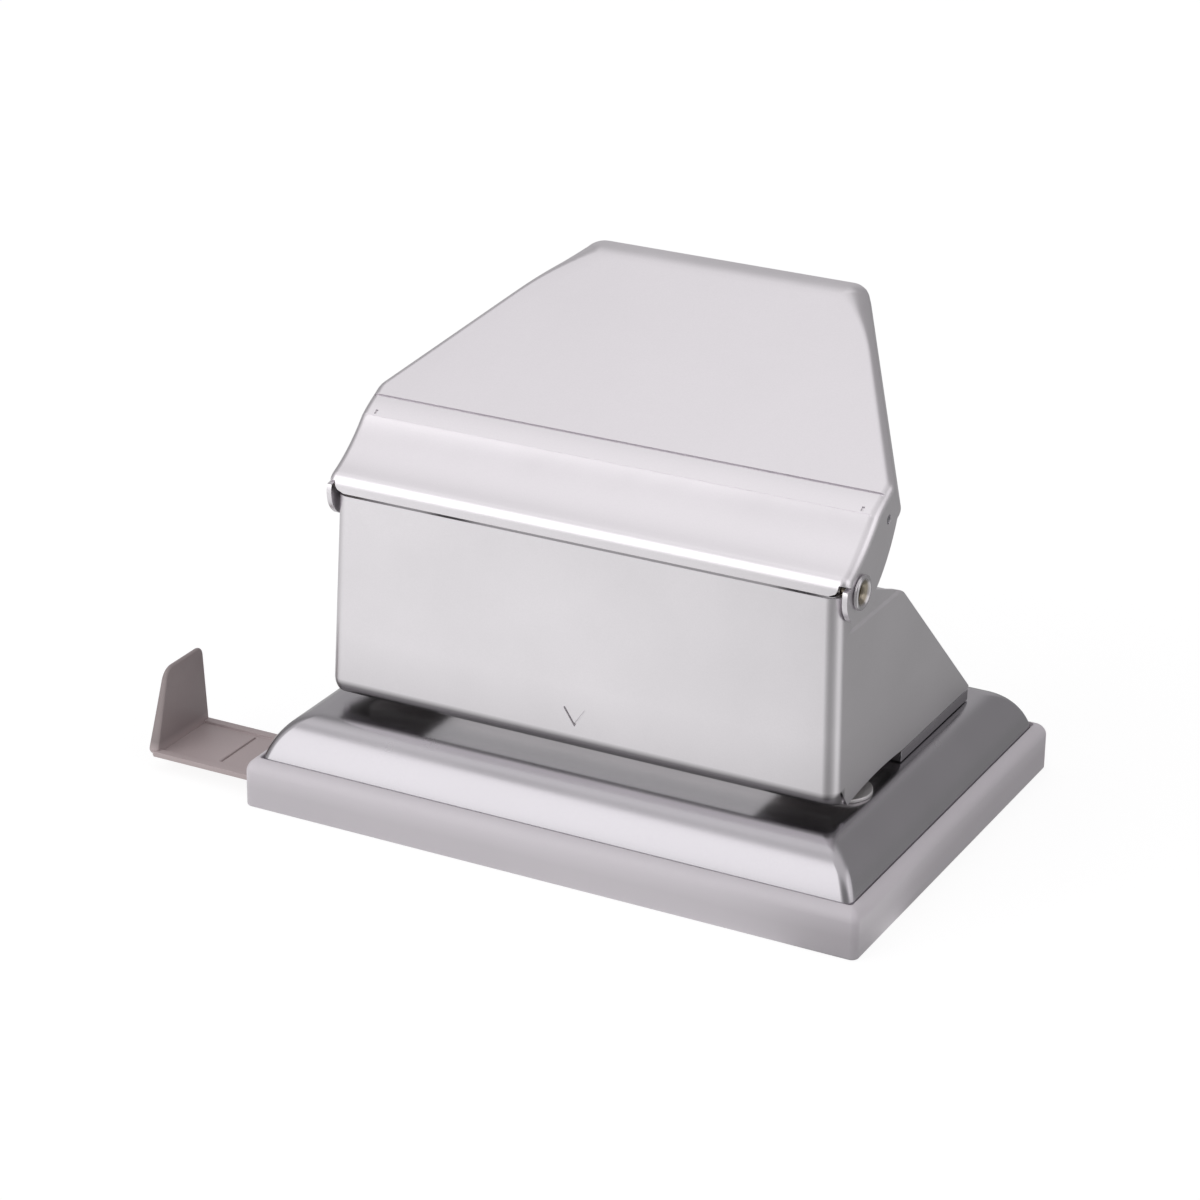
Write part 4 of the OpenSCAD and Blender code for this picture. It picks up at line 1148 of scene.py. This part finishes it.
class PUNCH_OT_tray(Operator):
    """Build the moulded chip tray with its lip, ledge, rail window and guides"""

    bl_idname = "punch.tray"
    bl_label = "Chip tray"

    def rings(self, s, top):
        """Levels of the moulding, from its underside round the lip and the ledge down to the floor."""
        rings = []

        def level(inset, z, r):
            rings.append(ring_of(TRAY_HIGH.x - inset, TRAY_HIGH.y - inset, r, z))

        for a in quarter(6):
            inset = s.foot * (1 - sin(a))
            level(inset, s.foot * (1 - cos(a)), s.corner - inset * 0.5)
        for a in quarter(12):
            inset = s.edge * (1 - cos(a))
            if inset > s.lip - 0.15 * MM:
                break
            level(inset, top - s.edge * (1 - sin(a)), max(0.4 * MM, s.corner - inset * 0.5))
        lip, eased_edge = rings[-1][0].z + 0.02 * MM, 0.12 * MM
        for a in quarter(4)[1:]:
            level(s.lip - eased_edge * (1 - sin(a)), lip - eased_edge * (1 - cos(a)), s.seat_corner)
        ledge = top - s.ledge_drop
        under = ledge - s.ledge_thick
        inner = s.lip + s.ledge
        for inset, z in ((s.lip, ledge), (inner, ledge), (inner, under), (s.wall, under), (s.wall, s.floor)):
            level(inset, z, s.seat_corner)
        return rings

    def execute(self, context):
        s = context.scene.punch_tray
        rings = self.rings(s, TRAY_HIGH.z - context.scene.punch_base.sink)
        skin = Skin()
        skin.grid(rings, closed=True)
        skin.sheet(rings[-1])
        skin.sheet(reversed(rings[0]))
        tray = skin.mesh_object("tray_moulding", weld=0.001 * MM)
        left, inside, hook = -TRAY_HIGH.x, s.wall - TRAY_HIGH.x, s.floor + s.window
        window = box_ring(STOP_LOW.y - s.slack, s.floor + s.slack / 2, STOP_HIGH.y + s.slack, hook)
        cut(tray, bar("cutter_window", window, left - MM, inside + MM))
        # hooked guides in front of and behind the rail, let a little into floor and wall
        let_in, guides = 0.1 * MM, []
        for edge, way, gap in ((STOP_LOW.y, -1, s.slack), (STOP_HIGH.y, 1, s.rear_gap)):
            foot, high, far = s.floor - let_in, hook + s.hook_thick, gap + s.guide
            ring = ((far, foot), (gap, foot), (gap, hook), (-s.hook, hook), (-s.hook, high), (far, high))
            guides.append(bar("guide", [(edge + way * y, z) for y, z in ring], inside - let_in, STOP_HIGH.x))
        tray = join("tray_moulding", tray, *guides)
        soften(tray, 0.12 * MM, 60)
        return dress(tray, "tray", "tray_plastic", "tray", "chip_tray")


class PUNCH_OT_stop(Operator):
    """Build the sliding paper stop: channel rail, cross groove and rounded upright"""

    bl_idname = "punch.stop"
    bl_label = "Paper stop"

    def rail(self, s, face):
        """Channel rail with its cross groove, and with a chamfer below the upright."""
        y0, y1, z0 = STOP_LOW.y, STOP_HIGH.y, STOP_LOW.z
        lip0, lip1, web, high = y0 + s.lip, y1 - s.lip, z0 + s.web, z0 + s.rail
        channel = (
            (y0, z0), (y1, z0), (y1, high), (lip1, high), (lip1, web), (lip0, web), (lip0, high), (y0, high),
        )
        start = STOP_LOW.x + s.heel + 0.9 * MM
        chamfer = ((start - MM, y0 - MM), (start + s.chamfer, y0 - MM), (start - MM, y0 + s.chamfer))
        groove = face + s.groove
        slot = box_ring(groove, web - s.groove_depth, groove + s.groove_width, high)
        rail = bar("rail", channel, start, STOP_HIGH.x)
        cut(rail, bar("cutter_heel", chamfer, z0 - MM, high + MM, "Z"))
        cut(rail, bar("cutter_groove", slot, y0 + 2 * s.lip, y1 - 1.4 * s.lip, "Y"))
        soften(rail, 0.16 * MM)
        return rail

    def upright(self, s, face):
        """Upright with a rounded outline and rounded edges, thinner at its top."""
        low, high = STOP_LOW.z, STOP_HIGH.z
        back = STOP_HIGH.y - s.top_back
        front_low, back_low = Vector((STOP_LOW.y + 0.1 * MM, low)), Vector((STOP_HIGH.y, low))
        front_high, back_high = Vector((back - s.top_width, high)), Vector((back, high))
        outline = rounded(back_low, front_low, front_high, 1.1 * MM, 6)
        outline += rounded(front_low, front_high, back_high, 3.4 * MM, 8)
        outline += rounded(front_high, back_high, back_low, 1.6 * MM, 6) + [back_low]
        middle = Vector((sum(p.x for p in outline) / len(outline), (low + high) / 2))
        edge, steps, rings = 0.55 * MM, 8, []
        for k in range(steps + 1):
            a = pi * k / steps
            inset = edge * (1 - sin(a))
            ring = []
            for p in outline:
                q = p + (middle - p).normalized() * inset
                up = (q.y - low) / (high - low)
                thick = s.upright + (s.upright_top - s.upright) * up
                ring.append(Vector((face - s.lean * up - thick * (0.5 - 0.5 * cos(a)), *q)))
            rings.append(ring)
        skin = Skin()
        skin.grid(rings, closed=True)
        skin.sheet(rings[0])
        skin.sheet(reversed(rings[-1]))
        upright = skin.mesh_object("upright", weld=0.001 * MM)
        soften(upright)
        return upright

    def execute(self, context):
        s = context.scene.punch_stop
        face = STOP_LOW.x + s.heel + s.upright
        piece = join("paper_stop_moulding", self.rail(s, face), self.upright(s, face))
        soften(piece)
        return dress(piece, "stop", "stop_plastic", "stop", "paper_stop")


# ---------------------------------------------------------------- small parts


# turned outlines of the pivot rivets in millimetres, as radius and distance from the end
RIVET_TAIL = ((1.4, 0), (2.35, 0), (2.5, 0.2), (2.5, 0.85), (2.3, 1.0), (2.0, 1.0))
RIVET_MOUTH = (
    (2.0, 1.0), (3.15, 1.0), (3.5, 0.82), (3.6, 0.55), (3.5, 0.2), (3.3, 0.05), (3.1, 0.0), (2.9, 0.04),
    (2.72, 0.2), (2.45, 0.45), (2.1, 0.68), (1.75, 0.92), (1.5, 1.3), (1.4, 1.8),
)
SIDES = ((-1, "left"), (1, "right"))


class PUNCH_OT_pivots(Operator):
    """Build the two tubular pivot rivets with their rolled, flared heads"""

    bl_idname = "punch.pivots"
    bl_label = "Pivot rivets"

    def execute(self, context):
        for side, name in SIDES:
            low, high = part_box("pivot_rivet_" + name)
            profile = [(r * MM, h * MM) for r, h in RIVET_TAIL]
            profile += [(r * MM, high.x - low.x - h * MM) for r, h in RIVET_MOUTH]
            at = Vector((low.x if side > 0 else high.x, PIVOT.y, PIVOT.z))
            rivet = lathe("tubular_rivet_" + name, profile, at, (side, 0, 0))
            soften(rivet)
            dress(rivet, "pivot", "pivot_brass", "punch", "pivot_rivet_" + name)
        return {"FINISHED"}


class PUNCH_OT_springs(Operator):
    """Wind the two return springs as smooth round wire"""

    bl_idname = "punch.springs"
    bl_label = "Return springs"

    def route(self, s, centre, low, high):
        """Middle line of the wire; its curls lie closer together at both ends."""
        steps = int(20 * s.turns)
        r = (s.coil - s.wire) / 2
        points = []
        for t in (i / steps for i in range(steps + 1)):
            rise = (high - low) * (t - 0.035 * sin(tau * t))
            a = tau * s.turns * t
            points.append(centre + Vector((r * cos(a), r * sin(a), low + rise)))
        return points

    def execute(self, context):
        s = context.scene.punch_springs
        low, high = BUSH_HIGH.z, CAP_LOW.z
        end = 0.55 * s.wire
        angles = [tau * k / 12 for k in range(12)]
        for side, name in SIDES:
            centre = Vector((side * s.spacing / 2, -s.front, 0))
            route = self.route(s, centre, low + end, high - end)
            rings = []
            for i, p in enumerate(route):
                before, after = neighbours(route, i)
                out = Vector((p.x - centre.x, p.y - centre.y, 0)).normalized()
                up = (after - before).normalized().cross(out).normalized()
                rings.append([p + (out * cos(a) + up * sin(a)) * (s.wire / 2) for a in angles])
            skin = Skin()
            skin.prism(rings)
            coil = skin.mesh_object("coil_spring_" + name)
            soften(coil)
            dress(coil, "spring", "spring_steel", "punch", "return_spring_" + name)
            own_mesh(coil)
        return {"FINISHED"}


class PUNCH_OT_fittings(Operator):
    """Ease the edges of the machined and pressed fittings and give them their metals"""

    bl_idname = "punch.fittings"
    bl_label = "Fittings"

    # node, metal and width of its eased edges in millimetres
    TABLE = (
        ("die_plate", "zinc", 0.12), ("die_rivets", "rivet", 0.12),
        ("stripper_plate", "zinc", 0.2), ("frame_rivets", "rivet", 0.2),
        ("guide_bridge", "zinc", 0.25), ("bridge_rivets", "rivet", 0.15),
        ("pin_bush_left", "brass", 0.2), ("pin_bush_right", "brass", 0.2),
        ("punch_pin_left", "tool", 0.15), ("punch_pin_right", "tool", 0.15),
        ("pin_clip_left", "spring", 0.1), ("pin_clip_right", "spring", 0.1),
        ("spring_cap_left", "rivet", 0.2), ("spring_cap_right", "rivet", 0.2),
        ("pressure_rod", "tool", 0.2), ("rail_spring", "spring", 0.05),
        ("pivot_washer_left", "washer", 0.05), ("pivot_washer_right", "washer", 0.05),
    )

    def execute(self, context):
        record = frame["record"]
        slots = {row["node"]: row["material_slot"] for row in record["subparts"]}
        bodies = {node: body for body, nodes in record["behaviour"]["bodies"].items() for node in nodes}
        for node, metal, edge in self.TABLE:
            work = bmesh.new()
            work.from_mesh(frame["nodes"][node].data)
            bmesh.ops.remove_doubles(work, verts=work.verts, dist=0.001 * MM)
            bmesh.ops.dissolve_limit(
                work, angle_limit=radians(0.6), verts=work.verts, edges=work.edges,
                use_dissolve_boundaries=False,
            )
            piece = mesh_object(node + "_eased", work)
            soften(piece, edge * MM)
            dress(piece, metal, slots[node], bodies[node], node)
        return {"FINISHED"}


# ---------------------------------------------------------------- stage


# painted reflection: brightness that the table glows with by direction round the housing's front corner, as a
# share of a full turn
PAINTED_REFLECTION_TONES = (
    (0.0, 0.70), (0.05, 0.92), (0.12, 0.92), (0.17, 0.84), (0.21, 0.70), (0.26, 0.40), (0.33, 0.30),
    (0.42, 0.45), (0.50, 0.85), (0.55, 0.78), (0.62, 0.34), (0.75, 0.30), (1.0, 0.70),
)
# parts of the room: a direction, and how far towards it each one starts and is full
ROOM_SKY = ((0, -0.75, 0.66), 0.12, 0.60)
ROOM_CAMERA_GAP = ((0.5, -0.8, 0.33), 0.78, 0.96)
ROOM_STRIP = ((0.9, 0.12, 0.42), 0.88, 0.96)
ROOM_BACK = ((-0.42, 0.82, 0.39), 0.84, 0.98)
ROOM_TONE = (1, 0.985, 1, 1)
WHITE = (1, 1, 1, 1)
FLOOR_TONE = (0.2, 0.2, 0.2, 1)
FLOOR_HALF = 3.0
# lamps: name, setting that holds the power, then place, target and size in metres
LAMPS = (
    ("softbox_front", "key", (-0.62, -0.98, 0.58), (0, 0, 0.03), (1.0, 1.2)),
    ("softbox_top", "top", (-0.35, 0.2, 1.15), (0, 0, 0.05), (1.1, 0.7)),
    ("throat_fill", "fill", (0.0017, -0.0266, 0.0227), (0.0017, -0.0266, 0), (0.0755, 0.0155)),
)
CAMERA_PLACE = (0.31553293, -0.63034347, 0.3440332)
CAMERA_LENS, CAMERA_SENSOR = 110.64, 36.0


class Studio(Nodes):
    """Short hand for the shader trees of floor and room, which show white to the camera."""

    def __init__(self, owner):
        owner.use_nodes = True
        super().__init__(owner.node_tree)
        self.tree.nodes.clear()

    def towards(self, way, start, full, to_low, to_high):
        """Value that runs smoothly between two numbers towards a direction."""
        place = self.node("ShaderNodeTexCoord").outputs["Generated"]
        along = self.vector("DOT_PRODUCT", place, Vector(way).normalized()).outputs["Value"]
        return self.ramp(along, start, full, to_low, to_high, interpolation_type="SMOOTHSTEP")

    def painted_reflection_round(self, centre, strength):
        """Painted reflection: brightness that the table glows with round a corner of the housing, as its folds
        mirror it.
        """
        place = self.node("ShaderNodeTexCoord").outputs["Object"]
        shift = self.node("ShaderNodeMapping", {"Vector": place, "Location": (-centre[0], -centre[1], 0)})
        turn = self.node("ShaderNodeTexGradient", {"Vector": shift}, gradient_type="RADIAL")
        tones = self.node("ShaderNodeValToRGB", {"Fac": turn.outputs["Fac"]})
        stops = tones.color_ramp.elements
        while len(stops) > 1:
            stops.remove(stops[-1])
        for i, (at, tone) in enumerate(PAINTED_REFLECTION_TONES):
            stop = stops[0] if i == 0 else stops.new(at)
            stop.position = at
            stop.color = (tone, tone, tone, 1)
        return self.math("MULTIPLY", tones.outputs["Color"], strength)

    def output(self, kind, others, camera):
        """Shows one shader to the camera and the other to all other rays."""
        rays = self.node("ShaderNodeLightPath").outputs["Is Camera Ray"]
        pick = self.node("ShaderNodeMixShader", {0: rays, 1: others, 2: camera})
        self.node(kind, {"Surface": pick})


class PUNCH_OT_stage(Operator):
    """Set the floor, the softboxes, the room and the camera"""

    bl_idname = "punch.stage"
    bl_label = "Stage"

    def floor(self, s):
        """Floor: white paper towards the camera; to all other rays a glowing table with painted reflections round
        the housing's front corner.
        """
        steps = [FLOOR_HALF * (i / 4 - 1) for i in range(9)]
        skin = Skin()
        skin.grid([[Vector((x, y, 0)) for y in steps] for x in steps])
        floor = skin.mesh_object("floor_paper")
        if floor.data.polygons[0].normal.z < 0:
            floor.data.flip_normals()
        paper = bpy.data.materials.new("floor_paper")
        tree = Studio(paper)
        around = tree.painted_reflection_round((SHELL_HIGH.x, SHELL_LOW.y), s.table)
        table = tree.node("ShaderNodeEmission", {"Strength": around})
        glow = tree.node("ShaderNodeEmission", {"Strength": s.paper})
        soft = tree.node("ShaderNodeBsdfDiffuse", {"Color": FLOOR_TONE})
        seen = tree.node("ShaderNodeAddShader", {0: glow, 1: soft})
        tree.output("ShaderNodeOutputMaterial", table, seen)
        floor.data.materials.append(paper)

    def room(self, s):
        """Room: bright overhead and in front, dim behind, white towards the camera."""
        world = bpy.data.worlds.new("studio_room")
        tree = Studio(world)
        sky = tree.towards(*ROOM_SKY, s.room, s.sky)
        gap = tree.towards(*ROOM_CAMERA_GAP, 1.0, s.camera_gap)
        strip = tree.towards(*ROOM_STRIP, 0.0, s.strip)
        back = tree.towards(*ROOM_BACK, 0.0, s.back)
        level = tree.math("ADD", tree.math("ADD", tree.math("MULTIPLY", sky, gap), strip), back)
        room = tree.node("ShaderNodeBackground", {"Color": ROOM_TONE, "Strength": level})
        white = tree.node("ShaderNodeBackground", {"Color": WHITE, "Strength": 1.0})
        tree.output("ShaderNodeOutputWorld", room, white)
        return world

    def lamps(self, s):
        """Two softboxes, and a small lamp in the throat that the camera doesn't see."""
        for name, setting, place, target, size in LAMPS:
            lamp = bpy.data.lights.new(name, "AREA")
            lamp.shape = "RECTANGLE"
            lamp.size, lamp.size_y = size
            lamp.energy = getattr(s, setting)
            obj = link(bpy.data.objects.new(name, lamp))
            obj.location = place
            obj.rotation_euler = (Vector(place) - Vector(target)).to_track_quat("Z", "Y").to_euler()
            obj.visible_camera = name != "throat_fill"

    def camera(self, s):
        """Camera at the photograph's place, turned by its roll."""
        level = cos(s.elevation)
        back = Vector((sin(s.azimuth) * level, -cos(s.azimuth) * level, sin(s.elevation)))
        side = Vector((cos(s.azimuth), sin(s.azimuth), 0))
        up = back.cross(side)
        turn = -s.roll
        right, upright = side * cos(turn) + up * sin(turn), up * cos(turn) - side * sin(turn)
        cam = bpy.data.cameras.new("camera")
        cam.sensor_fit = "HORIZONTAL"
        cam.sensor_width, cam.lens = CAMERA_SENSOR, CAMERA_LENS
        cam.clip_start, cam.clip_end = 0.01, 20.0
        obj = link(bpy.data.objects.new("camera", cam))
        matrix = Matrix((right, upright, back)).transposed().to_4x4()
        matrix.translation = Vector(CAMERA_PLACE)
        obj.matrix_world = matrix
        return obj

    def execute(self, context):
        s = context.scene.punch_stage
        scene = context.scene
        scene.view_settings.view_transform = "Standard"
        self.floor(s)
        scene.world = self.room(s)
        self.lamps(s)
        scene.camera = self.camera(s)
        return {"FINISHED"}


# ---------------------------------------------------------------- panel and registration


GROUPS = (
    ("punch_lever", PUNCH_PG_lever, "Lever"),
    ("punch_housing", PUNCH_PG_housing, "Housing"),
    ("punch_base", PUNCH_PG_base, "Base plate"),
    ("punch_tray", PUNCH_PG_tray, "Chip tray"),
    ("punch_stop", PUNCH_PG_stop, "Paper stop"),
    ("punch_springs", PUNCH_PG_springs, "Springs"),
    ("punch_finish", PUNCH_PG_finish, "Finishes"),
    ("punch_stage", PUNCH_PG_stage, "Stage"),
)
OPERATORS = (
    PUNCH_OT_stage, PUNCH_OT_lever, PUNCH_OT_housing, PUNCH_OT_cover, PUNCH_OT_base, PUNCH_OT_spacer,
    PUNCH_OT_tray, PUNCH_OT_stop, PUNCH_OT_pivots, PUNCH_OT_springs, PUNCH_OT_fittings,
)


class PUNCH_PT_sidebar(Panel):
    bl_idname = "PUNCH_PT_sidebar"
    bl_label = "Two-hole punch"
    bl_space_type = "VIEW_3D"
    bl_region_type = "UI"
    bl_category = "Punch"

    def draw(self, context):
        for operator in OPERATORS:
            self.layout.operator(operator.bl_idname)
        for name, group, label in GROUPS:
            box = self.layout.box()
            box.label(text=label)
            settings = getattr(context.scene, name)
            for key in group.__annotations__:
                box.prop(settings, key)


def register():
    for name, group, _ in GROUPS:
        bpy.utils.register_class(group)
        setattr(bpy.types.Scene, name, PointerProperty(type=group))
    for operator in OPERATORS:
        bpy.utils.register_class(operator)
    bpy.utils.register_class(PUNCH_PT_sidebar)


def unregister():
    bpy.utils.unregister_class(PUNCH_PT_sidebar)
    for operator in reversed(OPERATORS):
        bpy.utils.unregister_class(operator)
    for name, group, _ in reversed(GROUPS):
        delattr(bpy.types.Scene, name)
        bpy.utils.unregister_class(group)


def main():
    """Builds all pieces and the stage."""
    register()
    for operator in OPERATORS:
        group, name = operator.bl_idname.split(".")
        getattr(getattr(bpy.ops, group), name)()
    bpy.context.view_layer.update()


if __name__ == "__main__":
    main()
